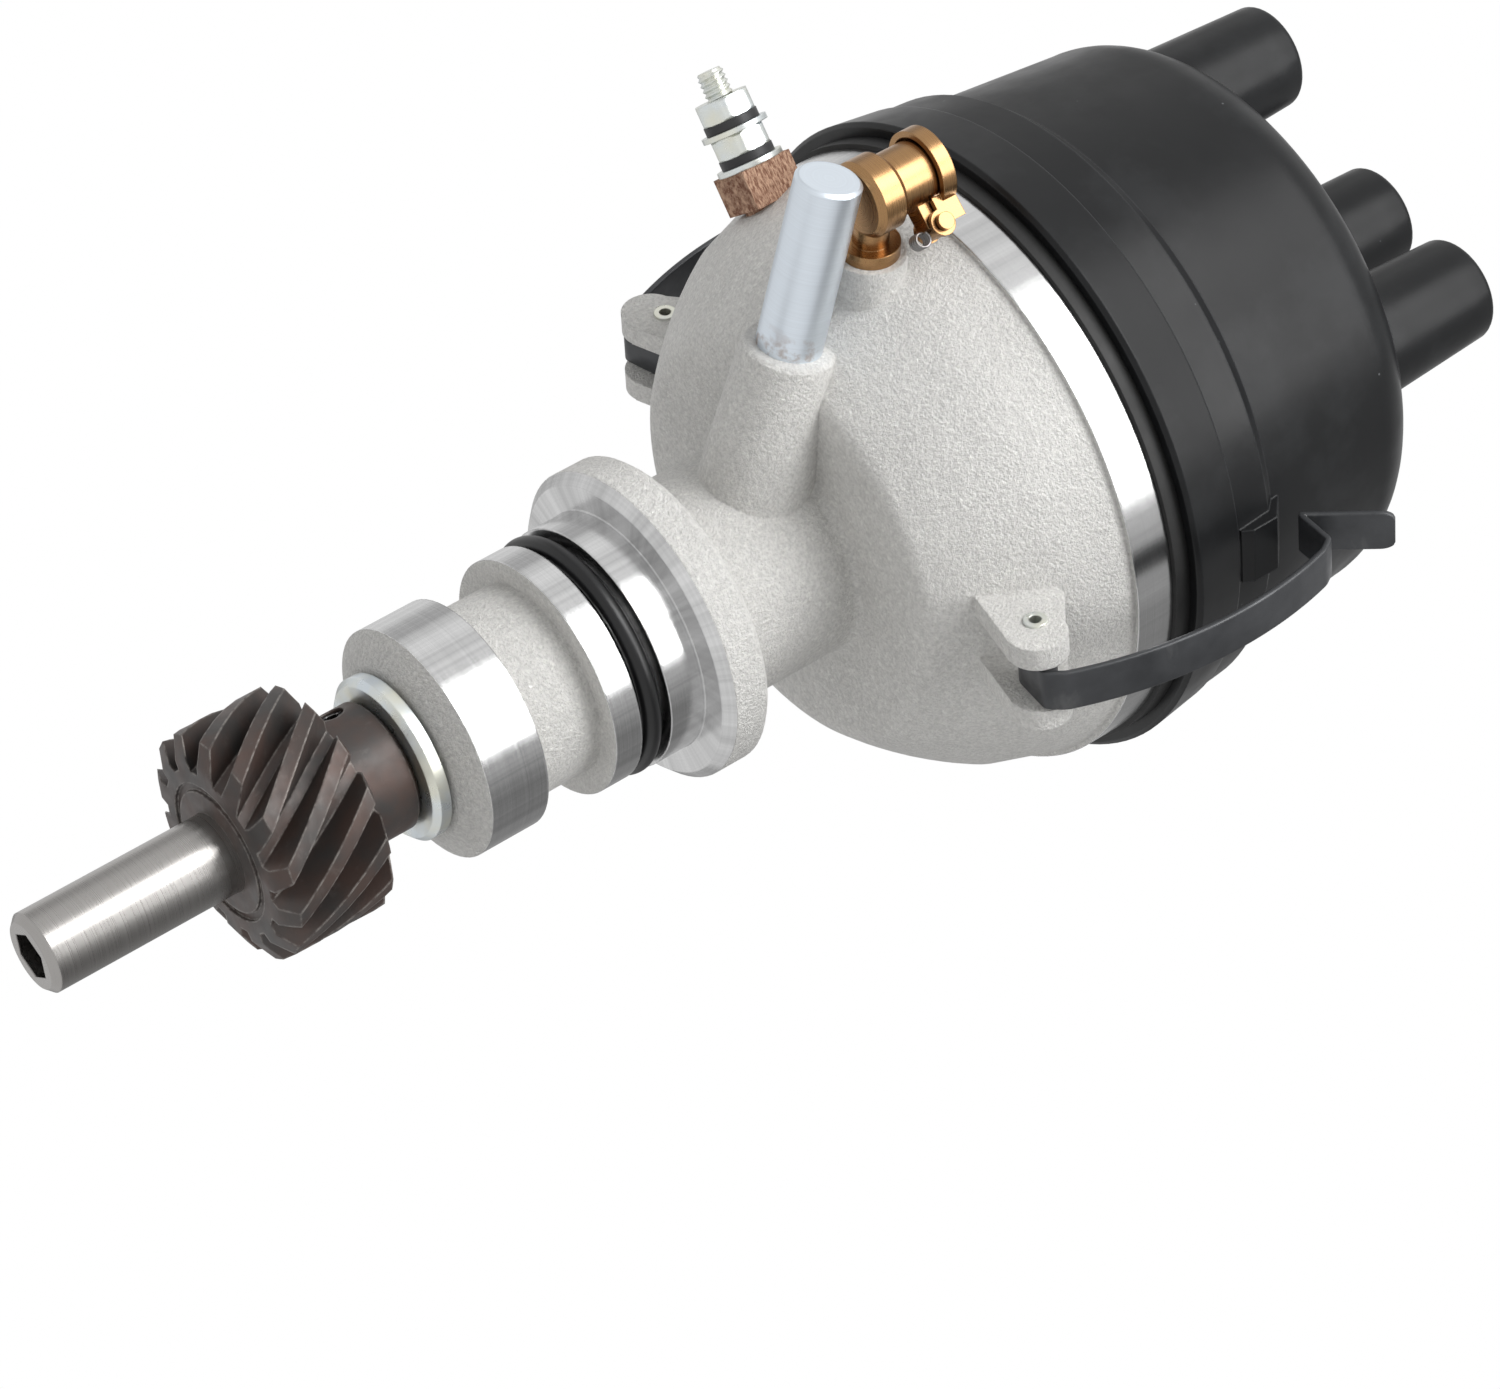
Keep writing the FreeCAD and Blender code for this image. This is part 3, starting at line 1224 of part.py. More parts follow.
def make_plate_screws():
    screws = []
    for angle in PLATE_SCREW_ANGLES:
        screws.append(slotted_screw(polar(PLATE_SCREW_PITCH_R, angle), PLATE_TOP_Z, 8.0))
    return Part.makeCompound(screws)


def points_plate_z():
    return PLATE_TOP_Z + POINTS_BASE_THICK


def fixed_contact_x():
    """Inner face of the moving contact's partner, one gap away from it."""
    return POINTS_CONTACT_AT[0] - ARM_THICK / 2 - CONTACT_THICK - POINTS_GAP


def make_points_base():
    """Ground plate of the contact set with its upright and fixed contact."""
    z = PLATE_TOP_Z
    outline = [(11.6, -22.0), (27.0, -17.5), (29.5, 12.0), (18.0, 21.0), (11.6, 21.0)]
    plate = prism(outline, z, POINTS_BASE_THICK)
    face_x = fixed_contact_x()
    upright_x = face_x - CONTACT_THICK - 1.0
    corner = V(upright_x, POINTS_CONTACT_AT[1] - 3.0, z)
    upright = Part.makeBox(1.0, 6.0, ARM_BOTTOM_Z + ARM_HEIGHT - z, corner)
    foot = Part.makeBox(6.0, 6.0, POINTS_BASE_THICK, corner)
    contact_back = V(face_x - CONTACT_THICK, POINTS_CONTACT_AT[1], ARM_BOTTOM_Z + ARM_HEIGHT / 2)
    contact = cylinder(CONTACT_R, CONTACT_THICK, contact_back, V(1, 0, 0))
    clearance = cylinder(CAM_TIP_R + 1.2, POINTS_BASE_THICK + 2, V(0, 0, z - 1))
    holes = []
    for x, y in (POINTS_SCREW_AT, POINTS_PIVOT_AT):
        holes.append(cylinder(PLATE_SCREW_R, POINTS_BASE_THICK + 2, V(x, y, z - 1)))
    return plate.fuse([upright, foot, contact]).cut([clearance] + holes).removeSplitter()


def make_points_screw():
    x, y = POINTS_SCREW_AT
    return slotted_screw(V(x, y, 0), points_plate_z(), POINTS_BASE_THICK + PLATE_THICK)


def make_points_pivot():
    x, y = POINTS_PIVOT_AT
    post = cylinder(POINTS_PIVOT_R, POINTS_PIVOT_TOP_Z - points_plate_z(), V(x, y, points_plate_z()))
    foot = cylinder(PLATE_SCREW_R, POINTS_BASE_THICK + PLATE_THICK, V(x, y, LEDGE_Z))
    return post.fuse(foot).removeSplitter()


def make_points_arm():
    """Moving arm: pivot boss, bar, rubbing block and contact."""
    px, py = POINTS_PIVOT_AT
    cx, cy = POINTS_CONTACT_AT
    bar = Part.makeBox(ARM_THICK, cy + 3.0 - py, ARM_HEIGHT, V(px - ARM_THICK / 2, py, ARM_BOTTOM_Z))
    boss = cylinder(ARM_BOSS_R, ARM_HEIGHT + 1, V(px, py, ARM_BOTTOM_Z - 0.5))
    block_start = CAM_TIP_R + BLOCK_GAP
    block_z = ARM_BOTTOM_Z + 0.5
    corner = V(block_start, -BLOCK_WIDTH / 2, block_z)
    block = Part.makeBox(px - block_start, BLOCK_WIDTH, BLOCK_HEIGHT, corner)
    contact_face = V(cx - ARM_THICK / 2 - CONTACT_THICK, cy, ARM_BOTTOM_Z + ARM_HEIGHT / 2)
    contact = cylinder(CONTACT_R, CONTACT_THICK, contact_face, V(1, 0, 0))
    hole = cylinder(POINTS_PIVOT_R + RUNNING_FIT, ARM_HEIGHT + 4, V(px, py, ARM_BOTTOM_Z - 2))
    return bar.fuse([boss, block, contact]).cut(hole).removeSplitter()


def make_anchor_post():
    """Insulated post where the spring and both leads meet."""
    x, y = ANCHOR_AT
    base = cylinder(ANCHOR_R + 0.8, 1.6, V(x, y, points_plate_z()))
    post = cylinder(ANCHOR_R - 0.6, 7.6, V(x, y, points_plate_z()))
    return base.fuse(post).removeSplitter()


def make_points_spring():
    """Bowed leaf from the anchor post to the arm."""
    px = POINTS_CONTACT_AT[0] + ARM_THICK / 2
    ax, ay = ANCHOR_AT
    start = (ax - ANCHOR_R + 0.35, ay - 0.6)
    middle = (px + 4.4, -1.0)
    end = (px + 0.35, 8.0)
    path = arc_points(start, middle, end, 9)
    return prism(ribbon(path, 0.35), ARM_BOTTOM_Z + 0.8, ARM_HEIGHT - 1.6)


def make_condenser():
    x, y = CONDENSER_AT
    z = PLATE_TOP_Z + CONDENSER_R + STRAP_THICK
    can = cylinder(CONDENSER_R, CONDENSER_LENGTH, V(x, y - CONDENSER_LENGTH / 2, z), V(0, 1, 0))
    edges = [e for e in can.Edges if e.Curve.TypeId == "Part::GeomCircle"]
    can = can.makeFillet(0.8, edges)
    nib = cylinder(1.6, 1.6, V(x, y - CONDENSER_LENGTH / 2 - 1.5, z), V(0, 1, 0))
    return can.fuse(nib)


def condenser_screw_place():
    x, y = CONDENSER_AT
    return V(x + CONDENSER_R + 6.4, y + 8.5, 0)


def make_condenser_strap():
    """Band round the condenser with a foot on the breaker plate."""
    x, y = CONDENSER_AT
    z = PLATE_TOP_Z + CONDENSER_R + STRAP_THICK
    start = V(x, y + 8.5 - STRAP_WIDTH / 2, z)
    band = tube(CONDENSER_R + STRAP_THICK, CONDENSER_R, STRAP_WIDTH, start, V(0, 1, 0))
    foot = Part.makeBox(CONDENSER_R + 9.8, STRAP_WIDTH, STRAP_THICK, V(x, start.y, PLATE_TOP_Z))
    screw = condenser_screw_place()
    hole = cylinder(PLATE_SCREW_R, 4, V(screw.x, screw.y, PLATE_TOP_Z - 1))
    can_room = cylinder(CONDENSER_R, STRAP_WIDTH, start, V(0, 1, 0))
    return band.fuse(foot).cut([hole, can_room]).removeSplitter()


def make_condenser_screw():
    return slotted_screw(condenser_screw_place(), PLATE_TOP_Z + STRAP_THICK, PLATE_THICK + STRAP_THICK)


def make_condenser_lead():
    x, y = CONDENSER_AT
    z = PLATE_TOP_Z + CONDENSER_R + STRAP_THICK
    start_y = y - CONDENSER_LENGTH / 2 - 1.5
    return lead([
        (x, start_y - 0.1, z),
        (x + 1.0, start_y - 5.0, z - 0.5),
        (x + 10.0, start_y - 14.0, 50.6),
        (0.0, -32.0, 50.2),
        (14.0, -28.0, 50.4),
        (22.6, -20.5, 52.0),
        (ANCHOR_AT[0] + 0.5, ANCHOR_AT[1] - ANCHOR_R, 53.6),
    ], LEAD_R)


def make_primary_lead():
    """Short lead from the inner end of the terminal stud to the anchor post."""
    end = polar(STUD_INNER_RADIUS - 0.2, TERMINAL_ANGLE, TERMINAL_Z)
    return lead([
        (end.x, end.y, end.z),
        (end.x - 2.2, end.y + 1.5, end.z + 1.0),
        (end.x - 2.6, end.y + 3.6, 53.6),
        (ANCHOR_AT[0] + 1.4, ANCHOR_AT[1] - ANCHOR_R - 0.6, 56.2),
    ], LEAD_R)


def make_rotor():
    """Moulded rotor: skirt over the cam top, neck and arm."""
    body = turned([
        (0, ROTOR_SKIRT_Z),
        (ROTOR_SKIRT_R, ROTOR_SKIRT_Z),
        (ROTOR_SKIRT_R - 0.6, ROTOR_SKIRT_TOP_Z),
        (ROTOR_NECK_R, ROTOR_SKIRT_TOP_Z + 3),
        (ROTOR_NECK_R, BLADE_Z),
        (0, BLADE_Z),
    ])
    length = ROTOR_ARM_REACH + ROTOR_TAIL_REACH
    centre = polar((ROTOR_ARM_REACH - ROTOR_TAIL_REACH) / 2, ROTOR_DEG, ROTOR_ARM_Z)
    arm = slab(length, ROTOR_ARM_WIDTH, ROTOR_ARM_THICK, centre, ROTOR_DEG)
    bore = cylinder(CAM_TOP_R, CAM_TOP_Z - ROTOR_SKIRT_Z + 1, V(0, 0, ROTOR_SKIRT_Z - 1))
    rotor = body.fuse(arm).cut(bore)
    key_centre = polar(CAM_TOP_R, ROTOR_DEG, CAM_TOP_Z - 4.7)
    key = slab(CAM_KEY_WIDTH - 0.1, CAM_KEY_WIDTH - 0.2, 4.6, key_centre, ROTOR_DEG)
    return rotor.fuse(key).removeSplitter()


def make_rotor_blade():
    """Brass blade from the centre of the rotor to its tip."""
    inner = 4.0
    length = BLADE_REACH + inner
    centre = polar((BLADE_REACH - inner) / 2, ROTOR_DEG, BLADE_Z)
    blade = slab(length, BLADE_WIDTH, BLADE_THICK, centre, ROTOR_DEG)
    tip = polar(BLADE_REACH - 1.2, ROTOR_DEG, BLADE_Z - 3.4)
    tongue = slab(2.4, BLADE_WIDTH, 3.4, tip, ROTOR_DEG)
    return blade.fuse(tongue).removeSplitter()


def nodes():
    """Every sub-part of the distributor by its node name."""
    clip = make_clip()
    weight = make_weight()
    return {
        "housing": make_housing(),
        "o_ring": make_o_ring(),
        "lower_bushing": make_lower_bushing(),
        "upper_bushing": make_upper_bushing(),
        "side_post": make_side_post(),
        "oiler_body": make_oiler_body(),
        "oiler_wick": make_oiler_wick(),
        "oiler_lid": make_oiler_lid(),
        "oiler_lid_pin": make_oiler_lid_pin(),
        "oiler_lid_spring": make_oiler_lid_spring(),
        "terminal_insulator": make_insulator(),
        "terminal_bush": make_terminal_bush(),
        "terminal_stud": make_terminal_stud(),
        "terminal_nuts": make_terminal_nuts(),
        "terminal_washers": make_terminal_washers(),
        "terminal_lock_washers": make_terminal_lock_washers(),
        "primary_lead": make_primary_lead(),
        "clip_pins": make_clip_pins(),
        "clip_front": clip,
        "clip_rear": rear(clip),
        "cap_gasket": make_gasket(),
        "cap": make_cap(),
        "tower_inserts": make_tower_inserts(),
        "carbon_brush": make_carbon_brush(),
        "brush_spring": make_brush_spring(),
        "drive_shaft": make_drive_shaft(),
        "drive_gear": make_drive_gear(),
        "gear_pin": make_gear_pin(),
        "thrust_washer": make_thrust_washer(),
        "advance_base": make_advance_base(),
        "weight_pins": make_weight_pins(),
        "weight_front": weight,
        "weight_rear": turn_copy(weight, 180),
        "advance_springs": make_advance_springs(),
        "cam_sleeve": make_cam_sleeve(),
        "cam_felt": make_cam_felt(),
        "breaker_plate": make_breaker_plate(),
        "plate_screws": make_plate_screws(),
        "points_base": make_points_base(),
        "points_screw": make_points_screw(),
        "points_pivot": make_points_pivot(),
        "points_arm": make_points_arm(),
        "points_spring": make_points_spring(),
        "anchor_post": make_anchor_post(),
        "condenser": make_condenser(),
        "condenser_strap": make_condenser_strap(),
        "condenser_screw": make_condenser_screw(),
        "condenser_lead": make_condenser_lead(),
        "rotor": make_rotor(),
        "rotor_blade": make_rotor_blade(),
    }


def main():
    os.makedirs("parts", exist_ok=True)
    for name, shape in nodes().items():
        shape.exportStep("parts/" + name + ".step")
        print(name, len(shape.Solids), "solids", shape.isValid(), "%.1f mm3" % shape.Volume)


main()
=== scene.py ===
"""Dressed model of a clip-on-cap ignition distributor.

Lengths in the classes are millimetres in the part's own frame: Z runs along the
drive shaft towards the cap, and the origin lies in the flange's seat face.
"""

import json
import logging
import math
from dataclasses import dataclass, field
from enum import Enum
from typing import Any, Sequence

import bmesh
import bpy
import numpy as np
from mathutils import Matrix, Vector

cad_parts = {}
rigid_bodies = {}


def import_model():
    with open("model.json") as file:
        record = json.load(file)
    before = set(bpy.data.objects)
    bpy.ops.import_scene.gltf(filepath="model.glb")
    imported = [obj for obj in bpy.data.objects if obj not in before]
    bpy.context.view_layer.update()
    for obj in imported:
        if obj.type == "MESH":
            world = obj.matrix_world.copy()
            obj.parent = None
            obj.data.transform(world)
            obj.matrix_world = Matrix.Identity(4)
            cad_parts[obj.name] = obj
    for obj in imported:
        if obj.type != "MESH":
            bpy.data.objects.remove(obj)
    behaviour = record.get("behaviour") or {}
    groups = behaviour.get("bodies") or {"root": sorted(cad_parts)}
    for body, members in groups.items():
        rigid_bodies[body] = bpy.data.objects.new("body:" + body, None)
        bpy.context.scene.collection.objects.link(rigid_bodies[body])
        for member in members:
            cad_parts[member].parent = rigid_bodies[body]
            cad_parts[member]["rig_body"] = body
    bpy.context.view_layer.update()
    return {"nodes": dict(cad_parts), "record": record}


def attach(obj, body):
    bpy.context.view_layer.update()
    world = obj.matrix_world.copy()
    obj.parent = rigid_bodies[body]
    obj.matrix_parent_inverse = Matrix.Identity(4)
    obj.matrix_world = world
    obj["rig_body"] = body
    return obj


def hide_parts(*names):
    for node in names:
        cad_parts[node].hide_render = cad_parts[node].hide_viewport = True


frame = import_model()

MM = 0.001
SCREEN_KNEE = 0.04045
SCREEN_SLOPE = 12.92
SCREEN_OFFSET = 0.055
SCREEN_POWER = 2.4
MERGE_DISTANCE = 0.000002
STRIP_EDGE_ANGLE = 40.0
LOG = logging.getLogger("distributor")
Colour = tuple[float, float, float]
Point = tuple[float, float, float]


class Blend(Enum):
    """Ways in which one colour lies over another."""

    MIX = "MIX"
    MULTIPLY = "MULTIPLY"


def linear(colour: Colour) -> tuple[float, float, float, float]:
    """Turn a colour as seen on a screen into scene light.

    Args:
        colour: Red, green and blue from 0 to 1, as displayed.

    Returns:
        The same colour as linear values with full alpha.
    """
    seen = np.asarray(colour, float)
    curve = ((seen + SCREEN_OFFSET) / (1.0 + SCREEN_OFFSET)) ** SCREEN_POWER
    light = np.where(seen <= SCREEN_KNEE, seen / SCREEN_SLOPE, curve)
    return (float(light[0]), float(light[1]), float(light[2]), 1.0)


def polar(radius: float, degrees: float, height: float = 0.0) -> Point:
    """Point at a radius and an angle around the shaft axis."""
    turn = math.radians(degrees)
    return (radius * math.cos(turn), radius * math.sin(turn), height)


class Graph:
    """Short way to place and join the nodes of one shader tree."""

    def __init__(self, tree: bpy.types.NodeTree) -> None:
        """Keep the tree that the nodes go into."""
        self.tree = tree

    def node(self, kind: str, inputs: dict[Any, Any] | None = None, **settings: Any) -> bpy.types.Node:
        """Add a node, set its options and feed its inputs.

        Args:
            kind: Blender's name of the node type.
            inputs: Input name or number to a socket or a plain value.
            **settings: Options of the node itself.

        Returns:
            The new node.
        """
        made = self.tree.nodes.new(kind)
        for name, value in settings.items():
            setattr(made, name, value)
        for key, value in (inputs or {}).items():
            self.feed(made.inputs[key], value)
        return made

    def feed(self, socket: bpy.types.NodeSocket, value: Any) -> None:
        """Link a socket to an input, or set its plain value.

        Args:
            socket: Input of a node.
            value: Another node's output, or a plain value.
        """
        if isinstance(value, bpy.types.NodeSocket):
            self.tree.links.new(value, socket)
        else:
            socket.default_value = value

    def math(
        self, operation: str, first: Any, second: Any = 0.0, clamp: bool = False
    ) -> bpy.types.NodeSocket:
        """Result of one arithmetic step on two values."""
        made = self.node("ShaderNodeMath", {0: first, 1: second}, operation=operation, use_clamp=clamp)
        return made.outputs[0]

    def mix(self, factor: Any, first: Any, second: Any, blend: Blend = Blend.MIX) -> bpy.types.NodeSocket:
        """Second colour laid over the first by a factor."""
        made = self.node(
            "ShaderNodeMix", {0: factor, 6: first, 7: second}, data_type="RGBA", blend_type=blend.value
        )
        return made.outputs[2]

    def span(
        self, value: Any, low: float, high: float, out_low: float = 0.0, out_high: float = 1.0
    ) -> bpy.types.NodeSocket:
        """Value moved from one range to another, held at its ends."""
        made = self.node("ShaderNodeMapRange", {0: value, 1: low, 2: high, 3: out_low, 4: out_high})
        return made.outputs[0]

    def noise(
        self, vector: Any, scale: Any, detail: float = 3.0, rough: float = 0.55
    ) -> bpy.types.NodeSocket:
        """Fractal noise from 0 to 1."""
        made = self.node(
            "ShaderNodeTexNoise", {"Vector": vector, "Scale": scale, "Detail": detail, "Roughness": rough}
        )
        return made.outputs["Fac"]

    def bump(self, height: Any, strength: Any, distance: float, normal: Any) -> bpy.types.NodeSocket:
        """Normal tilted by a height pattern."""
        made = self.node(
            "ShaderNodeBump",
            {"Height": height, "Strength": strength, "Distance": distance, "Normal": normal},
        )
        return made.outputs["Normal"]


class SharedEffects:
    """Node groups that several finishes use, each built once."""

    def __init__(self) -> None:
        """Build every group."""
        self.made: dict[str, bpy.types.Material] = {}
        self.turned_place = self._turned_place()
        self.edge = self._edge()
        self.grain = self._grain()
        self.lines = self._lines()
        self.patches = self._patches()

    @staticmethod
    def _group(
        name: str, inputs: dict[str, tuple[str, Any]], outputs: dict[str, str]
    ) -> tuple[Graph, Any, Any]:
        """Empty group with named sockets.

        Args:
            name: Name of the group.
            inputs: Socket name to its type and default value.
            outputs: Socket name to its type.

        Returns:
            The group's graph, its input node and its output node.
        """
        tree = bpy.data.node_groups.new(name, "ShaderNodeTree")
        for label, (kind, value) in inputs.items():
            socket = tree.interface.new_socket(label, in_out="INPUT", socket_type=kind)
            socket.default_value = value
        for label, kind in outputs.items():
            tree.interface.new_socket(label, in_out="OUTPUT", socket_type=kind)
        graph = Graph(tree)
        return graph, graph.node("NodeGroupInput"), graph.node("NodeGroupOutput")

    def _turned_place(self) -> bpy.types.NodeTree:
        """Radius from an axis and height along it, both in millimetres.

        Height is the dot product of the offset from the axis point with the
        axis direction, and radius is what is left of the offset.

        Returns:
            The node group.
        """
        vector = "NodeSocketVector"
        graph, given, result = self._group(
            "turned_place",
            {"Origin": (vector, (0.0, 0.0, 0.0)), "Direction": (vector, (0.0, 0.0, 1.0))},
            {"Radius": "NodeSocketFloat", "Height": "NodeSocketFloat"},
        )
        place = graph.node("ShaderNodeTexCoord").outputs["Object"]
        scaled = graph.node("ShaderNodeVectorMath", {0: place, "Scale": 1.0 / MM}, operation="SCALE")
        offset = graph.node(
            "ShaderNodeVectorMath",
            {0: scaled.outputs[0], 1: given.outputs["Origin"]},
            operation="SUBTRACT",
        )
        along = graph.node(
            "ShaderNodeVectorMath",
            {0: offset.outputs[0], 1: given.outputs["Direction"]},
            operation="DOT_PRODUCT",
        )
        foot = graph.node(
            "ShaderNodeVectorMath",
            {0: given.outputs["Direction"], "Scale": along.outputs["Value"]},
            operation="SCALE",
        )
        across = graph.node(
            "ShaderNodeVectorMath", {0: offset.outputs[0], 1: foot.outputs[0]}, operation="SUBTRACT"
        )
        radius = graph.node("ShaderNodeVectorMath", {0: across.outputs[0]}, operation="LENGTH")
        graph.feed(result.inputs["Radius"], radius.outputs["Value"])
        graph.feed(result.inputs["Height"], along.outputs["Value"])
        return graph.tree

    def _edge(self) -> bpy.types.NodeTree:
        """Softened normal at sharp edges, and a mask of where they are.

        The mask is one less the dot product of the softened and true normals.

        Returns:
            The node group.
        """
        graph, given, result = self._group(
            "soft_edge",
            {"Radius": ("NodeSocketFloat", 0.0003), "Gain": ("NodeSocketFloat", 8.0)},
            {"Normal": "NodeSocketVector", "Mask": "NodeSocketFloat"},
        )
        soft = graph.node("ShaderNodeBevel", {"Radius": given.outputs["Radius"]}, samples=6)
        true = graph.node("ShaderNodeNewGeometry").outputs["Normal"]
        match = graph.node("ShaderNodeVectorMath", {0: soft.outputs[0], 1: true}, operation="DOT_PRODUCT")
        lost = graph.math("SUBTRACT", 1.0, match.outputs["Value"])
        mask = graph.math("MULTIPLY", lost, given.outputs["Gain"], clamp=True)
        graph.feed(result.inputs["Normal"], soft.outputs[0])
        graph.feed(result.inputs["Mask"], mask)
        return graph.tree

    def _grain(self) -> bpy.types.NodeTree:
        """Fine sand grain: its height, and single bright grains.

        Returns:
            The node group.
        """
        graph, given, result = self._group(
            "grain",
            {"Scale": ("NodeSocketFloat", 1500.0)},
            {"Height": "NodeSocketFloat", "Sparkle": "NodeSocketFloat"},
        )
        place = graph.node("ShaderNodeTexCoord").outputs["Object"]
        fine = graph.noise(place, given.outputs["Scale"], 4.0, 0.75)
        broad = graph.noise(place, graph.math("MULTIPLY", given.outputs["Scale"], 0.5), 2.0, 0.5)
        both = graph.math("ADD", fine, graph.math("MULTIPLY", broad, 0.5))
        coarse = graph.span(both, 0.5, 1.0)
        cells = graph.node(
            "ShaderNodeTexVoronoi", {"Vector": place, "Scale": given.outputs["Scale"]}, feature="F1"
        )
        flecks = graph.node("ShaderNodeSeparateColor", {0: cells.outputs["Color"]}).outputs[0]
        graph.feed(result.inputs["Height"], coarse)
        graph.feed(result.inputs["Sparkle"], graph.span(flecks, 0.80, 0.95))
        return graph.tree

    def _lines(self) -> bpy.types.NodeTree:
        """Turning lines: noise that varies along the axis and the radius only.

        Returns:
            The node group.
        """
        graph, given, result = self._group(
            "turning_lines",
            {
                "Radius": ("NodeSocketFloat", 0.0),
                "Height": ("NodeSocketFloat", 0.0),
                "Scale": ("NodeSocketFloat", 6.0),
            },
            {"Lines": "NodeSocketFloat"},
        )
        place = graph.node(
            "ShaderNodeCombineXYZ", {0: given.outputs["Radius"], 1: 0.0, 2: given.outputs["Height"]}
        )
        graph.feed(result.inputs["Lines"], graph.noise(place.outputs[0], given.outputs["Scale"], 4.0, 0.7))
        return graph.tree

    def _patches(self) -> bpy.types.NodeTree:
        """Irregular patches, such as dust, stains or scuffs, as a mask.

        Returns:
            The node group.
        """
        graph, given, result = self._group(
            "patches",
            {
                "Scale": ("NodeSocketFloat", 60.0),
                "Threshold": ("NodeSocketFloat", 0.6),
                "Stretch": ("NodeSocketVector", (1.0, 1.0, 1.0)),
            },
            {"Mask": "NodeSocketFloat"},
        )
        place = graph.node("ShaderNodeTexCoord").outputs["Object"]
        drawn = graph.node(
            "ShaderNodeVectorMath", {0: place, 1: given.outputs["Stretch"]}, operation="MULTIPLY"
        )
        cloud = graph.noise(drawn.outputs[0], given.outputs["Scale"], 6.0, 0.62)
        above = graph.math("SUBTRACT", cloud, given.outputs["Threshold"])
        graph.feed(result.inputs["Mask"], graph.math("MULTIPLY", above, 9.0, clamp=True))
        return graph.tree


@dataclass(frozen=True)
class Finish:
    """Plain surface finish, and the base of the others."""

    name: str
    colour: Colour
    roughness: float = 0.5
    metallic: float = 0.0
    edge_mm: float = 0.25
    specular: float = 0.5

    def material(self, effects: SharedEffects) -> bpy.types.Material:
        """Material of this finish, made at its first use.

        Args:
            effects: The shared node groups.

        Returns:
            The finished material.
        """
        if self.name in effects.made:
            return effects.made[self.name]
        made = bpy.data.materials.new(self.name + "_look")
        effects.made[self.name] = made
        made.use_nodes = True
        made.node_tree.nodes.clear()
        graph = Graph(made.node_tree)
        shader = graph.node(
            "ShaderNodeBsdfPrincipled",
            {"Roughness": self.roughness, "Metallic": self.metallic, "Specular IOR Level": self.specular},
        )
        output = graph.node("ShaderNodeOutputMaterial")
        graph.feed(output.inputs["Surface"], shader.outputs[0])
        self.dress(graph, shader, effects)
        return made

    def dress(self, graph: Graph, shader: bpy.types.Node, effects: SharedEffects) -> None:
        """Base colour with a slight cloudiness and softened edges.

        Args:
            graph: Node graph of the material.
            shader: Its principled shader.
            effects: The shared node groups.
        """
        edge = self.soft_edge(graph, effects)
        cloud = graph.node("ShaderNodeTexCoord").outputs["Object"]
        tone = graph.span(graph.noise(cloud, 220.0), 0.3, 0.7, 0.9, 1.08)
        graph.feed(shader.inputs["Base Color"], self.toned(graph, linear(self.colour), tone))
        graph.feed(shader.inputs["Normal"], edge.outputs["Normal"])

    def soft_edge(self, graph: Graph, effects: SharedEffects, gain: float = 8.0) -> bpy.types.Node:
        """The soft edge group at this finish's own radius.

        Args:
            graph: Node graph of the material.
            effects: The shared node groups.
            gain: How soon the edge mask is full.

        Returns:
            The group node.
        """
        edge = graph.node("ShaderNodeGroup", node_tree=effects.edge)
        edge.inputs["Radius"].default_value = self.edge_mm * MM
        edge.inputs["Gain"].default_value = gain
        return edge

    @staticmethod
    def toned(graph: Graph, colour: Any, tone: bpy.types.NodeSocket) -> bpy.types.NodeSocket:
        """Colour multiplied by a tone that varies over the surface."""
        grey = graph.node("ShaderNodeCombineColor", {0: tone, 1: tone, 2: tone})
        return graph.mix(1.0, colour, grey.outputs[0], Blend.MULTIPLY)


@dataclass(frozen=True)
class TurnedZone:
    """Band of a casting that is machined bright."""

    low: float
    high: float
    inner_radius: float


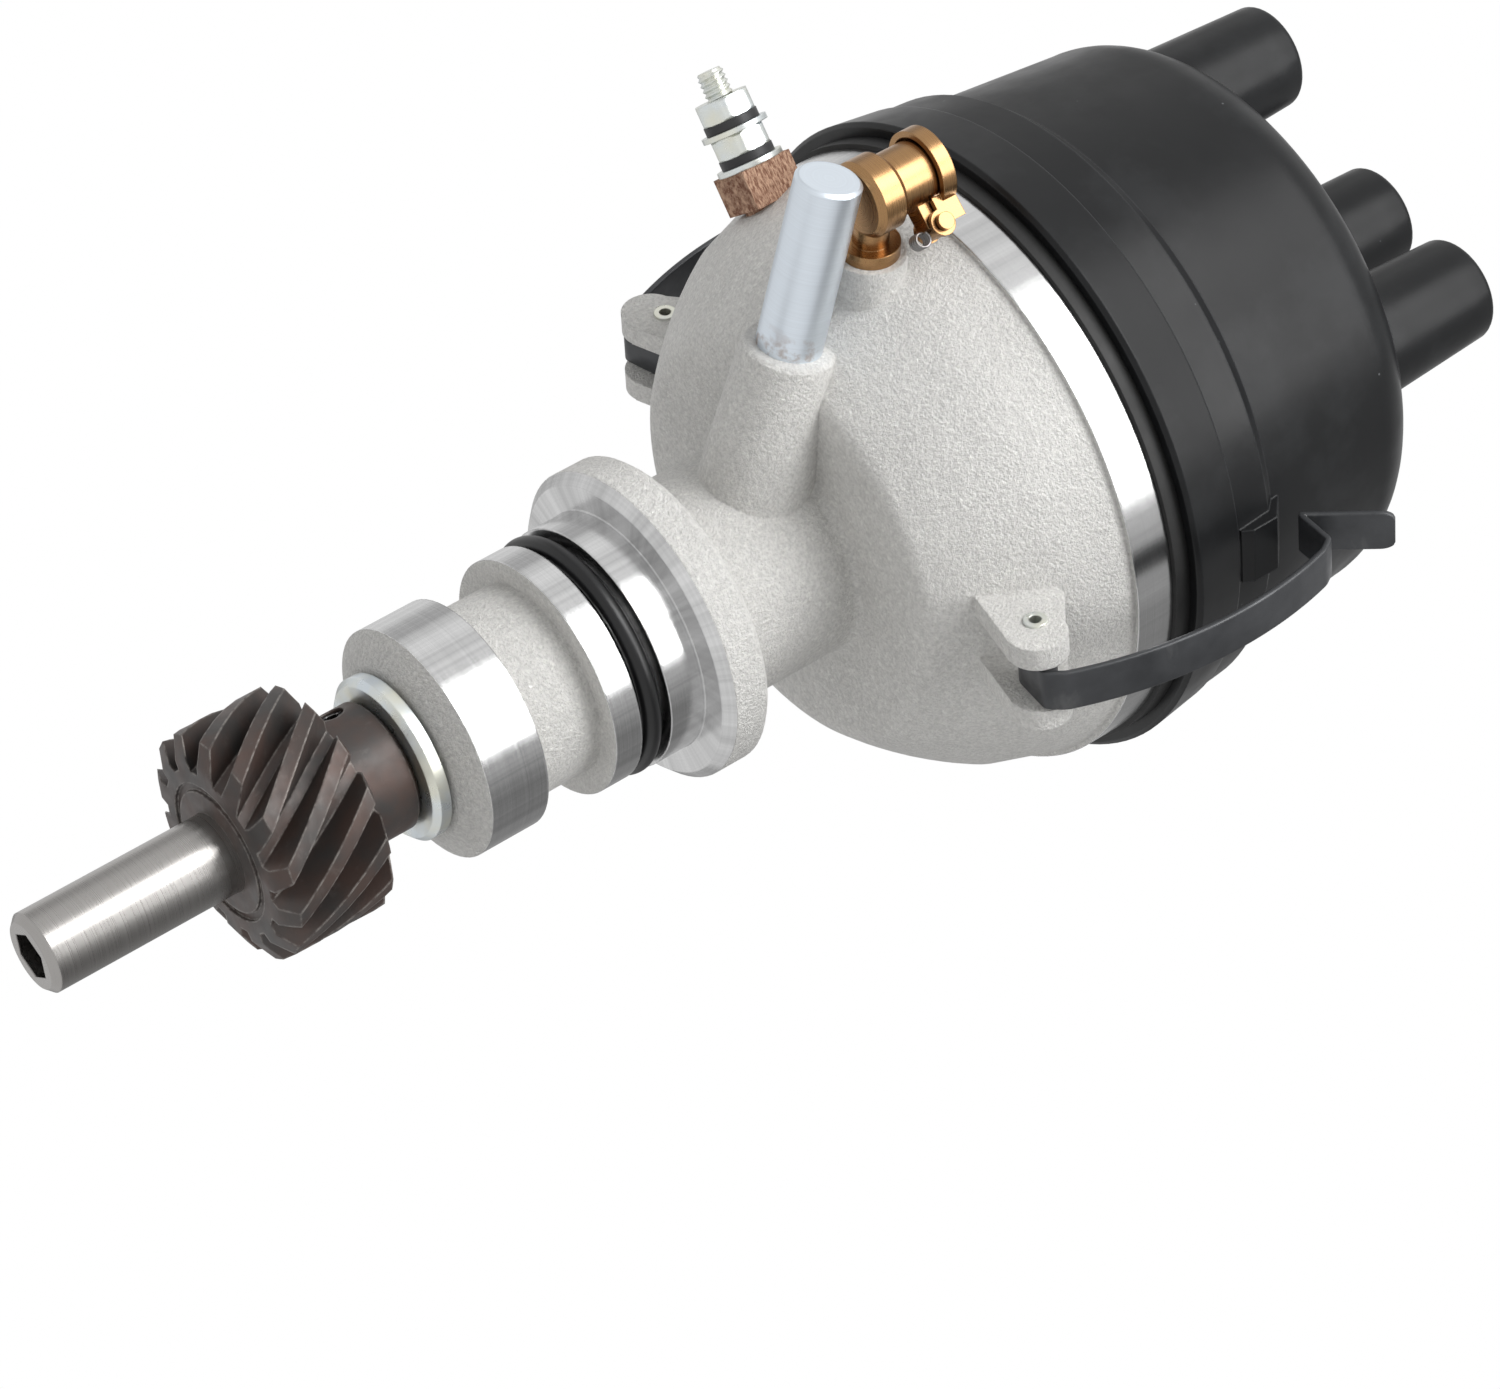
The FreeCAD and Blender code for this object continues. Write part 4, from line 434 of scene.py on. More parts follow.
@dataclass(frozen=True)
class Casting(Finish):
    """Raw sand-grained casting with machined bands."""

    machined: Colour = (0.86, 0.86, 0.86)
    zones: tuple[TurnedZone, ...] = ()
    grain_scale: float = 2300.0

    def dress(self, graph: Graph, shader: bpy.types.Node, effects: SharedEffects) -> None:
        """Grain with sparkling grains outside the zones, turning lines and painted reflection bands inside.

        Args:
            graph: Node graph of the material.
            shader: Its principled shader.
            effects: The shared node groups.
        """
        edge = self.soft_edge(graph, effects)
        place = graph.node("ShaderNodeGroup", node_tree=effects.turned_place)
        radius = place.outputs["Radius"]
        height = place.outputs["Height"]
        bright: Any = 0.0
        for zone in self.zones:
            inside = graph.math("GREATER_THAN", height, zone.low)
            inside = graph.math("MULTIPLY", inside, graph.math("LESS_THAN", height, zone.high))
            inside = graph.math("MULTIPLY", inside, graph.math("GREATER_THAN", radius, zone.inner_radius))
            bright = graph.math("ADD", bright, inside, clamp=True)
        grain = graph.node("ShaderNodeGroup", node_tree=effects.grain)
        grain.inputs["Scale"].default_value = self.grain_scale
        lines = graph.node("ShaderNodeGroup", {"Radius": radius, "Height": height}, node_tree=effects.lines)
        where = graph.node("ShaderNodeTexCoord").outputs["Object"]
        cloud = graph.span(graph.noise(where, 70.0, 4.0), 0.3, 0.7, 0.95, 1.03)
        cast = self.toned(graph, linear(self.colour), cloud)
        sparkle = graph.math("MULTIPLY", grain.outputs["Sparkle"], 0.45)
        cast = graph.mix(sparkle, cast, linear((0.95, 0.95, 0.93)))
        dark = graph.span(grain.outputs["Height"], 0.15, 0.75, 0.84, 1.04)
        cast = self.toned(graph, cast, dark)
        # Painted reflection: the tone changes only around the axis, so light and dark bands run along the
        # machined zones like reflections of the studio.
        flat = graph.node("ShaderNodeVectorMath", {0: where, 1: (1.0, 1.0, 0.0)}, operation="MULTIPLY")
        around = graph.node("ShaderNodeVectorMath", {0: flat.outputs[0]}, operation="NORMALIZE")
        painted_reflection_bands = graph.span(graph.noise(around.outputs[0], 5.0, 6.0, 0.7), 0.36, 0.62, 0.72, 1.0)
        turned = self.toned(graph, linear(self.machined), painted_reflection_bands)
        turned = self.toned(graph, turned, graph.span(lines.outputs["Lines"], 0.3, 0.7, 0.86, 1.05))
        graph.feed(shader.inputs["Base Color"], graph.mix(bright, cast, turned))
        rough_cast = graph.span(grain.outputs["Sparkle"], 0.0, 1.0, self.roughness, self.roughness - 0.18)
        rough_turned = graph.span(lines.outputs["Lines"], 0.3, 0.7, 0.16, 0.26)
        rough = graph.node("ShaderNodeMix", {0: bright, 2: rough_cast, 3: rough_turned}, data_type="FLOAT")
        graph.feed(shader.inputs["Roughness"], rough.outputs[0])
        metal = graph.span(bright, 0.0, 1.0, self.metallic, 1.0)
        graph.feed(shader.inputs["Metallic"], metal)
        sand = graph.bump(
            grain.outputs["Height"], graph.span(bright, 0.0, 1.0, 0.9, 0.0), 0.00026, edge.outputs["Normal"]
        )
        ringed = graph.bump(lines.outputs["Lines"], graph.span(bright, 0.0, 1.0, 0.0, 0.12), 0.00006, sand)
        graph.feed(shader.inputs["Normal"], ringed)


@dataclass(frozen=True)
class Turned(Finish):
    """Bright metal turned or ground around an axis."""

    origin: Point = (0.0, 0.0, 0.0)
    direction: Point = (0.0, 0.0, 1.0)
    line_scale: float = 7.0
    line_depth: float = 0.15
    stain: Colour = (0.45, 0.36, 0.28)
    stain_amount: float = 0.0
    stain_below: float = 0.0

    def dress(self, graph: Graph, shader: bpy.types.Node, effects: SharedEffects) -> None:
        """Fine rings in tone, gloss and height, and a stain towards one end.

        Args:
            graph: Node graph of the material.
            shader: Its principled shader.
            effects: The shared node groups.
        """
        edge = self.soft_edge(graph, effects)
        place = graph.node("ShaderNodeGroup", node_tree=effects.turned_place)
        place.inputs["Origin"].default_value = self.origin
        place.inputs["Direction"].default_value = self.direction
        lines = graph.node(
            "ShaderNodeGroup",
            {"Radius": place.outputs["Radius"], "Height": place.outputs["Height"], "Scale": self.line_scale},
            node_tree=effects.lines,
        )
        tone = graph.span(lines.outputs["Lines"], 0.3, 0.7, 0.94, 1.04)
        colour = self.toned(graph, linear(self.colour), tone)
        patches = graph.node("ShaderNodeGroup", node_tree=effects.patches)
        patches.inputs["Scale"].default_value = 260.0
        patches.inputs["Threshold"].default_value = 0.5
        near = graph.span(place.outputs["Height"], self.stain_below - 6.0, self.stain_below, 1.0, 0.0)
        amount = graph.math("MULTIPLY", patches.outputs["Mask"], near)
        amount = graph.math("MULTIPLY", amount, self.stain_amount)
        colour = graph.mix(amount, colour, linear(self.stain))
        graph.feed(shader.inputs["Base Color"], colour)
        low, high = self.roughness - 0.05, self.roughness + 0.07
        gloss = graph.span(lines.outputs["Lines"], 0.3, 0.7, low, high)
        graph.feed(shader.inputs["Roughness"], graph.math("ADD", gloss, graph.math("MULTIPLY", amount, 0.35)))
        graph.feed(
            shader.inputs["Normal"],
            graph.bump(lines.outputs["Lines"], self.line_depth, 0.00005, edge.outputs["Normal"]),
        )


@dataclass(frozen=True)
class Plated(Finish):
    """Zinc plate or black oxide with drifting tints and worn edges."""

    tint: Colour = (0.74, 0.74, 0.66)
    worn: Colour = (0.82, 0.82, 0.82)
    wear: float = 0.3
    scuff_scale: float = 90.0
    scuff_amount: float = 0.0

    def dress(self, graph: Graph, shader: bpy.types.Node, effects: SharedEffects) -> None:
        """Two tints in soft clouds, then scuffs, then bright worn edges.

        Args:
            graph: Node graph of the material.
            shader: Its principled shader.
            effects: The shared node groups.
        """
        edge = self.soft_edge(graph, effects, 14.0)
        where = graph.node("ShaderNodeTexCoord").outputs["Object"]
        drift = graph.span(graph.noise(where, 160.0, 3.0), 0.35, 0.65)
        colour = graph.mix(drift, linear(self.colour), linear(self.tint))
        scuffs = graph.node("ShaderNodeGroup", node_tree=effects.patches)
        scuffs.inputs["Scale"].default_value = self.scuff_scale
        scuffs.inputs["Threshold"].default_value = 0.6
        scuffs.inputs["Stretch"].default_value = (1.0, 3.0, 2.0)
        scuffed = graph.math("MULTIPLY", scuffs.outputs["Mask"], self.scuff_amount)
        colour = graph.mix(scuffed, colour, linear(self.worn))
        ragged = graph.span(graph.noise(where, 900.0, 4.0), 0.35, 0.6)
        worn = graph.math("MULTIPLY", graph.math("MULTIPLY", edge.outputs["Mask"], ragged), self.wear)
        colour = graph.mix(worn, colour, linear(self.worn))
        graph.feed(shader.inputs["Base Color"], colour)
        low, high = self.roughness - 0.06, self.roughness + 0.08
        gloss = graph.span(graph.noise(where, 420.0, 4.0), 0.3, 0.7, low, high)
        graph.feed(shader.inputs["Roughness"], gloss)
        graph.feed(
            shader.inputs["Normal"],
            graph.bump(graph.noise(where, 1400.0, 3.0), 0.08, 0.0001, edge.outputs["Normal"]),
        )


@dataclass(frozen=True)
class Moulding(Finish):
    """Black moulded plastic or rubber with dust and fine orange peel."""

    dust: Colour = (0.30, 0.30, 0.30)
    dust_amount: float = 0.12
    peel: float = 0.05

    def dress(self, graph: Graph, shader: bpy.types.Node, effects: SharedEffects) -> None:
        """Even base, dust specks, slightly paler edges and uneven gloss.

        Args:
            graph: Node graph of the material.
            shader: Its principled shader.
            effects: The shared node groups.
        """
        edge = self.soft_edge(graph, effects, 10.0)
        where = graph.node("ShaderNodeTexCoord").outputs["Object"]
        specks = graph.node("ShaderNodeTexVoronoi", {"Vector": where, "Scale": 420.0}, feature="F1")
        small = graph.span(specks.outputs["Distance"], 0.05, 0.09, 1.0, 0.0)
        rare = graph.node("ShaderNodeSeparateColor", {0: specks.outputs["Color"]}).outputs[0]
        dusty = graph.math("MULTIPLY", small, graph.math("GREATER_THAN", rare, 0.93))
        colour = graph.mix(graph.math("MULTIPLY", dusty, 0.6), linear(self.colour), linear(self.dust))
        film = graph.node("ShaderNodeGroup", node_tree=effects.patches)
        film.inputs["Scale"].default_value = 45.0
        film.inputs["Threshold"].default_value = 0.5
        filmed = graph.math("MULTIPLY", film.outputs["Mask"], self.dust_amount)
        colour = graph.mix(filmed, colour, linear(self.dust))
        colour = graph.mix(graph.math("MULTIPLY", edge.outputs["Mask"], 0.12), colour, linear(self.dust))
        graph.feed(shader.inputs["Base Color"], colour)
        low, high = self.roughness - 0.05, self.roughness + 0.07
        gloss = graph.span(graph.noise(where, 130.0, 5.0), 0.3, 0.7, low, high)
        graph.feed(shader.inputs["Roughness"], gloss)
        graph.feed(
            shader.inputs["Normal"],
            graph.bump(graph.noise(where, 900.0, 3.0), self.peel, 0.0001, edge.outputs["Normal"]),
        )


@dataclass(frozen=True)
class Fibre(Finish):
    """Pressed or woven fibre in layers."""

    strand: Colour = (0.5, 0.4, 0.3)
    scale: float = 700.0

    def dress(self, graph: Graph, shader: bpy.types.Node, effects: SharedEffects) -> None:
        """Two colours in stretched noise, raised by the same noise.

        Args:
            graph: Node graph of the material.
            shader: Its principled shader.
            effects: The shared node groups.
        """
        edge = self.soft_edge(graph, effects)
        where = graph.node("ShaderNodeTexCoord").outputs["Object"]
        drawn = graph.node("ShaderNodeMapping", {"Vector": where, "Scale": (1.0, 1.0, 4.0)})
        strands = graph.noise(drawn.outputs[0], self.scale, 5.0, 0.7)
        colour = graph.mix(graph.span(strands, 0.40, 0.62), linear(self.colour), linear(self.strand))
        graph.feed(shader.inputs["Base Color"], colour)
        graph.feed(shader.inputs["Normal"], graph.bump(strands, 0.8, 0.0005, edge.outputs["Normal"]))


@dataclass(frozen=True)
class Finishes:
    """Every finish of the distributor."""

    casting: Casting = Casting(
        "cast_aluminium",
        (0.885, 0.88, 0.868),
        roughness=0.56,
        metallic=0.35,
        edge_mm=0.45,
        zones=(
            TurnedZone(-35.75, -26.25, 17.40),
            TurnedZone(-15.25, -10.65, 18.05),
            TurnedZone(-10.75, -5.85, 15.0),
            TurnedZone(-5.95, 0.05, 18.3),
            TurnedZone(-0.05, 1.45, 18.3),
            TurnedZone(54.45, 61.05, 46.9),
        ),
    )
    rubber: Moulding = Moulding(
        "black_rubber",
        (0.07, 0.07, 0.075),
        roughness=0.36,
        dust_amount=0.03,
        specular=0.4,
        peel=0.12,
    )
    gasket: Moulding = Moulding(
        "gasket_rubber",
        (0.08, 0.08, 0.08),
        roughness=0.62,
        dust_amount=0.1,
        peel=0.12,
    )
    bronze: Turned = Turned("sintered_bronze", (0.62, 0.46, 0.28), roughness=0.42, metallic=1.0)
    shaft: Turned = Turned(
        "ground_steel", (0.64, 0.63, 0.62), roughness=0.28, metallic=1.0, edge_mm=0.3, line_scale=2.5,
        line_depth=0.05
    )
    inner_steel: Turned = Turned("inner_steel", (0.62, 0.61, 0.60), roughness=0.36, metallic=1.0)
    gear: Plated = Plated(
        "gear_steel",
        (0.28, 0.268, 0.262),
        roughness=0.42,
        metallic=0.3,
        specular=0.35,
        edge_mm=0.45,
        tint=(0.325, 0.27, 0.25),
        worn=(0.60, 0.58, 0.56),
        wear=0.85,
        scuff_amount=0.10,
        scuff_scale=200.0,
    )
    hub: Plated = Plated(
        "slotted_pin", (0.14, 0.13, 0.13), roughness=0.4, metallic=0.9, tint=(0.22, 0.2, 0.19), wear=0.4
    )
    zinc: Plated = Plated(
        "zinc_plate", (0.84, 0.87, 0.89), roughness=0.3, metallic=0.85, tint=(0.87, 0.87, 0.82), wear=0.2
    )
    black_steel: Plated = Plated(
        "black_oxide",
        (0.17, 0.17, 0.175),
        roughness=0.44,
        metallic=0.35,
        tint=(0.205, 0.205, 0.21),
        wear=0.12,
        worn=(0.55, 0.55, 0.55),
        scuff_amount=0.10,
        scuff_scale=70.0,
    )
    clip_steel: Plated = Plated(
        "clip_steel",
        (0.215, 0.22, 0.23),
        roughness=0.40,
        metallic=0.35,
        tint=(0.26, 0.265, 0.275),
        wear=0.35,
        worn=(0.58, 0.58, 0.57),
        scuff_amount=0.12,
        scuff_scale=80.0,
    )
    wire: Plated = Plated(
        "spring_wire",
        (0.55, 0.55, 0.56),
        roughness=0.3,
        metallic=1.0,
        tint=(0.5, 0.48, 0.46),
    )
    brass: Turned = Turned(
        "turned_brass", (0.63, 0.49, 0.34), roughness=0.27, metallic=1.0, edge_mm=0.2, line_depth=0.1,
        origin=(0.0, 0.0, 0.0),
    )
    contact: Plated = Plated("contact_metal", (0.80, 0.80, 0.79), roughness=0.3, metallic=1.0)
    cap: Moulding = Moulding(
        "black_phenolic",
        (0.08, 0.083, 0.088),
        roughness=0.33,
        dust=(0.42, 0.43, 0.44),
        dust_amount=0.04,
        edge_mm=0.4,
        specular=0.22,
    )
    rotor: Moulding = Moulding("brown_phenolic", (0.36, 0.22, 0.16), roughness=0.42, dust=(0.5, 0.42, 0.36))
    laminate: Fibre = Fibre(
        "red_laminate",
        (0.50, 0.35, 0.28),
        roughness=0.85,
        strand=(0.80, 0.66, 0.56),
        scale=900.0,
        specular=0.2,
    )
    felt: Fibre = Fibre(
        "oiled_felt",
        (0.55, 0.48, 0.33),
        roughness=0.95,
        strand=(0.72, 0.66, 0.5),
        scale=1500.0,
    )
    lead: Fibre = Fibre(
        "lead_cover",
        (0.13, 0.11, 0.09),
        roughness=0.7,
        strand=(0.25, 0.2, 0.14),
        scale=1200.0,
    )
    carbon: Finish = Finish("pressed_carbon", (0.16, 0.16, 0.16), roughness=0.6)
    can: Plated = Plated(
        "condenser_can",
        (0.82, 0.82, 0.82),
        roughness=0.34,
        metallic=1.0,
        tint=(0.76, 0.76, 0.76),
    )


class Workshop:
    """Makes pieces and puts them on their bodies."""

    def __init__(self) -> None:
        """Prepare the shared effects and the finishes."""
        self.effects = SharedEffects()
        self.finishes = Finishes()
        self.slots = {part["node"]: part["material_slot"] for part in frame["record"]["subparts"]}

    def paint(self, node: str, finish: Finish) -> None:
        """Give a CAD node one finish on all its faces.

        Args:
            node: Name of the CAD node.
            finish: Its finish.
        """
        piece = frame["nodes"][node]
        piece.data.materials.clear()
        piece.data.materials.append(finish.material(self.effects))
        LOG.info("%s: %s", node, finish.name)

    def smooth(self, node: str, finish: Finish, angle: float = 32.0) -> bpy.types.Object:
        """Stand a smooth-shaded copy of a CAD node in its place.

        Args:
            node: Name of the CAD node.
            finish: Finish of the copy.
            angle: Edges sharper than this many degrees stay crisp.

        Returns:
            The copy.
        """
        mesh = frame["nodes"][node].data.copy()
        work = bmesh.new()
        work.from_mesh(mesh)
        bmesh.ops.remove_doubles(work, verts=work.verts, dist=MERGE_DISTANCE)
        work.to_mesh(mesh)
        work.free()
        for name in [layer.name for layer in mesh.attributes if layer.name == "custom_normal"]:
            mesh.attributes.remove(mesh.attributes[name])
        mesh.shade_smooth()
        mesh.set_sharp_from_angle(angle=math.radians(angle))
        return self.place(mesh, node + "_dressed", finish, (node,))

    def place(
        self, mesh: bpy.types.Mesh, name: str, finish: Finish, nodes: Sequence[str]
    ) -> bpy.types.Object:
        """Put a finished mesh in the scene in place of CAD nodes.

        Args:
            mesh: The mesh, in metres in the part's frame.
            name: Name of the new piece.
            finish: Its finish.
            nodes: The CAD nodes that it stands for, all on one body.

        Returns:
            The new piece.
        """
        mesh.materials.clear()
        mesh.materials.append(finish.material(self.effects))
        piece = bpy.data.objects.new(name, mesh)
        bpy.context.scene.collection.objects.link(piece)
        body = frame["nodes"][nodes[0]]["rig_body"]
        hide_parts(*nodes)
        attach(piece, body)
        LOG.info("%s: %s on %s", name, finish.name, body)
        return piece


def grid_mesh(name: str, points: np.ndarray) -> bpy.types.Mesh:
    """Closed skin over a grid of points, round in its second direction.

    Row i and column j join to row i+1 and column j+1, the last column joins the
    first, and each end row is closed by triangles to its mean point.

    Args:
        name: Name of the mesh.
        points: Array of shape (rows, columns, 3) in millimetres.

    Returns:
        The mesh, in metres, smooth-shaded.
    """
    rows, columns, _ = points.shape
    index = np.arange(rows * columns).reshape(rows, columns)
    here, there = index[:-1], index[1:]
    quads = np.stack([here, np.roll(here, -1, 1), np.roll(there, -1, 1), there], axis=-1).reshape(-1, 4)
    first = np.full(columns, rows * columns)
    last = first + 1
    low_fan = np.stack([first, np.roll(index[0], -1), index[0]], axis=-1)
    high_fan = np.stack([last, index[-1], np.roll(index[-1], -1)], axis=-1)
    centres = np.stack([points[0].mean(0), points[-1].mean(0)])
    vertices = np.concatenate([points.reshape(-1, 3), centres]) * MM
    mesh = bpy.data.meshes.new(name)
    mesh.from_pydata(vertices.tolist(), [], quads.tolist() + low_fan.tolist() + high_fan.tolist())
    work = bmesh.new()
    work.from_mesh(mesh)
    bmesh.ops.recalc_face_normals(work, faces=work.faces)
    work.to_mesh(mesh)
    work.free()
    mesh.shade_smooth()
    mesh.set_sharp_from_angle(angle=math.radians(STRIP_EDGE_ANGLE))
    return mesh


def resampled(path: np.ndarray, step: float, round_over: float) -> np.ndarray:
    """Even points along a path with its corners rounded.

    The path is read at equal arc lengths, and each inner point becomes the mean
    of the points within round_over of it, weighted by a bell curve.

    Args:
        path: Array of corner points, shape (n, k).
        step: Distance between the new points.
        round_over: Reach of the rounding along the path.

    Returns:
        Array of the new points.
    """
    length = np.concatenate([[0.0], np.cumsum(np.linalg.norm(np.diff(path, axis=0), axis=1))])
    places = np.linspace(0.0, length[-1], int(length[-1] / step) + 1)
    even = np.stack([np.interp(places, length, path[:, k]) for k in range(path.shape[1])], axis=1)
    reach = max(int(round_over / step), 1)
    weights = np.hanning(2 * reach + 3)[1:-1]
    weights /= weights.sum()
    first = even[:1] + (even[:1] - even[1:reach + 1][::-1])
    last = even[-1:] + (even[-1:] - even[-reach - 1:-1][::-1])
    padded = np.concatenate([first, even, last])
    return np.stack([np.convolve(padded[:, k], weights, mode="valid") for k in range(path.shape[1])], axis=1)


def arc_through(
    first: Sequence[float], middle: Sequence[float], last: Sequence[float], count: int
) -> np.ndarray:
    """Points on the circle arc through three points of a plane.

    The centre is equally far from the three points, and the angle around it
    runs evenly from the first to the last past the middle.

    Args:
        first: Start of the arc.
        middle: Any point on the arc.
        last: End of the arc.
        count: Number of points.

    Returns:
        Array of shape (count, 2).
    """
    a, b, c = (np.asarray(p, float) for p in (first, middle, last))
    sides = 2.0 * np.array([b - a, c - a])
    centre = np.linalg.solve(sides, np.array([b @ b - a @ a, c @ c - a @ a]))
    radius = np.linalg.norm(a - centre)
    angles = np.unwrap([math.atan2(*(p - centre)[::-1]) for p in (a, b, c)])
    turn = np.linspace(angles[0], angles[2], count)
    return centre + radius * np.stack([np.cos(turn), np.sin(turn)], axis=1)


@dataclass
class SpringClips:
    """The two bowed spring clips that hold the cap."""

    pin: tuple[float, float] = (46.0, 36.8)
    roll_radius: float = 2.275
    roll_from: float = -20.0
    foot: tuple[float, float] = (51.6, 33.4)
    start: tuple[float, float] = (53.6, 35.4)
    bow: tuple[float, float] = (59.9, 57.5)
    top: tuple[float, float] = (58.2, 79.2)
    bend: tuple[float, float] = (56.9, 81.4)
    vee: tuple[float, float] = (49.9, 82.5)
    tab: tuple[float, float] = (59.0, 92.2)
    width: float = 6.4
    thickness: float = 0.95
    rear_turn: float = 184.0
    rear_lift: float = 7.0

    def path(self) -> np.ndarray:
        """Middle line of the strip in the (y, z) plane, from roll to tab.

        Returns:
            Array of points, in millimetres.
        """
        turn = np.radians(np.linspace(self.roll_from, 270.0, 40))
        roll = np.array(self.pin) + self.roll_radius * np.stack([np.cos(turn), np.sin(turn)], axis=1)
        bow = arc_through(self.start, self.bow, self.top, 60)
        tail = np.array([self.bend, self.vee, self.tab])
        return resampled(np.concatenate([roll, [self.foot], bow, tail]), 0.25, 0.8)

    def strip(self) -> np.ndarray:
        """Strip surface: a rounded rectangle carried along the middle line.

        Across the width the half width narrows near the tab's end as the
        square root of one less the squared share of the last stretch.

        Returns:
            Array of shape (rows, columns, 3), in millimetres.
        """
        line = self.path()
        along = np.gradient(line, axis=0)
        along /= np.linalg.norm(along, axis=1, keepdims=True)
        normal = np.stack([-along[:, 1], along[:, 0]], axis=1)
        run = np.linalg.norm(self.tab - line, axis=1)
        share = np.clip(1.0 - run / 2.2, 0.0, 1.0)
        share[: len(line) // 2] = 0.0
        half = self.width / 2.0 * (0.62 + 0.38 * np.sqrt(1.0 - share**2))
        corner = 0.28
        quarter = np.arange(4)
        turns = np.radians(30.0 * (quarter + 3.0 * quarter[:, None]).ravel())
        side = np.repeat([1, -1, -1, 1], 4)
        face = np.repeat([1, 1, -1, -1], 4)
        x = side * (half[:, None] - corner) + corner * np.cos(turns)
        lift = face * (self.thickness / 2.0 - corner) + corner * np.sin(turns)
        y = line[:, 0][:, None] + normal[:, 0][:, None] * lift
        z = line[:, 1][:, None] + normal[:, 1][:, None] * lift
        return np.stack([x, y, z], axis=-1)

    def build(self, shop: Workshop) -> None:
        """Make both clips, the rear one turned and lifted to its own lug.

        Args:
            shop: The workshop that makes and places the pieces.
        """
        front = self.strip()
        a = math.radians(self.rear_turn)
        spin = np.array(Matrix.Rotation(a, 3, "Z"))
        rear = front @ spin.T + np.array([0.0, 0.0, self.rear_lift])
        for node, points in (("clip_front", front), ("clip_rear", rear)):
            name = node + "_strip"
            shop.place(grid_mesh(name, points), name, shop.finishes.clip_steel, (node,))


@dataclass
class Terminal:
    """Low-tension terminal: laminate block, threaded stud, nuts and washers."""

    angle: float = -33.5
    height: float = 49.4
    inner: float = 34.8
    outer: float = 64.7
    radius: float = 2.08
    pitch: float = 0.8
    depth: float = 0.36

    def thread(self) -> np.ndarray:
        """Threaded rod: radius falls from the crest by a triangle wave.

        The wave's phase is the distance along the rod over the pitch less the
        share of a turn, and it fades out at both ends.

        Returns:
            Array of shape (rows, columns, 3), in millimetres.
        """
        rows = np.linspace(self.inner, self.outer, 600)
        turn = np.linspace(0.0, 2.0 * math.pi, 28, endpoint=False)
        s, t = np.meshgrid(rows, turn, indexing="ij")
        phase = (s / self.pitch - t / (2.0 * math.pi)) % 1.0
        wave = np.abs(2.0 * phase - 1.0)
        end = np.clip(np.minimum(s - self.inner, self.outer - s) / 0.5, 0.0, 1.0)
        r = self.radius - 0.02 - self.depth * (1.0 - end * wave)
        out = np.array(polar(1.0, self.angle))
        side = np.array([-out[1], out[0], 0.0])
        up = np.array([0.0, 0.0, 1.0])
        axis = s[..., None] * out + self.height * up
        return axis + r[..., None] * (np.cos(t)[..., None] * side + np.sin(t)[..., None] * up)

    def build(self, shop: Workshop) -> None:
        """Thread the stud and dress the pieces on it.

        Args:
            shop: The workshop that makes and places the pieces.
        """
        f = shop.finishes
        shop.place(grid_mesh("stud_thread", self.thread()), "terminal_thread", f.zinc, ("terminal_stud",))
        shop.smooth("terminal_insulator", f.laminate)
        shop.paint("terminal_bush", f.laminate)
        shop.smooth("terminal_nuts", f.zinc)
        shop.smooth("terminal_washers", f.zinc)
        shop.smooth("terminal_lock_washers", f.black_steel)
        shop.smooth("primary_lead", f.lead)


@dataclass
class Housing:
    """Cast housing with its seals, bushings and clip pins."""

    def build(self, shop: Workshop) -> None:
        """Dress the casting and what is pressed into it.

        Args:
            shop: The workshop that makes and places the pieces.
        """
        f = shop.finishes
        shop.smooth("housing", f.casting)
        shop.smooth("o_ring", f.rubber)
        shop.smooth("cap_gasket", f.gasket)
        shop.smooth("clip_pins", f.zinc)
        shop.smooth("lower_bushing", f.bronze)
        shop.smooth("upper_bushing", f.bronze)


@dataclass
class SidePost:
    """Plain steel post that stands out of the neck."""

    angle: float = 8.2
    lean: float = 14.3
    tip_radius: float = 63.0
    tip_height: float = 36.0
    visible: float = 26.8

    def build(self, shop: Workshop) -> None:
        """Dress the post with bright zinc and a little rust at its foot.

        Args:
            shop: The workshop that makes and places the pieces.
        """
        rise = math.radians(self.lean)
        out = polar(math.cos(rise), self.angle, math.sin(rise))
        finish = Turned(
            "post_zinc",
            (0.86, 0.89, 0.92),
            roughness=0.38,
            metallic=1.0,
            edge_mm=0.3,
            line_depth=0.025,
            line_scale=2.5,
            origin=polar(self.tip_radius, self.angle, self.tip_height),
            direction=out,
            stain=(0.55, 0.40, 0.26),
            stain_amount=0.8,
            stain_below=5.0 - self.visible,
        )
        shop.smooth("side_post", finish)


@dataclass
class OilCup:
    """Elbow oil cup with its hinged lid."""

    angle: float = 8.5
    radius: float = 56.6

    def build(self, shop: Workshop) -> None:
        """Dress the brass cup, the lid and its hinge.

        Args:
            shop: The workshop that makes and places the pieces.
        """
        f = shop.finishes
        centre = polar(self.radius, self.angle)
        brass = Turned(
            "oiler_brass",
            f.brass.colour,
            roughness=0.27,
            metallic=1.0,
            edge_mm=0.2,
            line_depth=0.12,
            origin=centre,
        )
        shop.smooth("oiler_body", brass)
        shop.smooth("oiler_lid", brass)
        shop.smooth("oiler_lid_pin", brass)
        shop.smooth("oiler_lid_spring", f.wire)
        shop.paint("oiler_wick", f.felt)


@dataclass
class DriveEnd:
    """Shaft, gear, pin and thrust washer."""

    def build(self, shop: Workshop) -> None:
        """Dress the pieces that stick out of the engine end.

        Args:
            shop: The workshop that makes and places the pieces.
        """
        f = shop.finishes
        shop.smooth("drive_shaft", f.shaft)
        shop.smooth("drive_gear", f.gear)
        shop.smooth("gear_pin", f.hub)
        shop.smooth("thrust_washer", f.zinc)


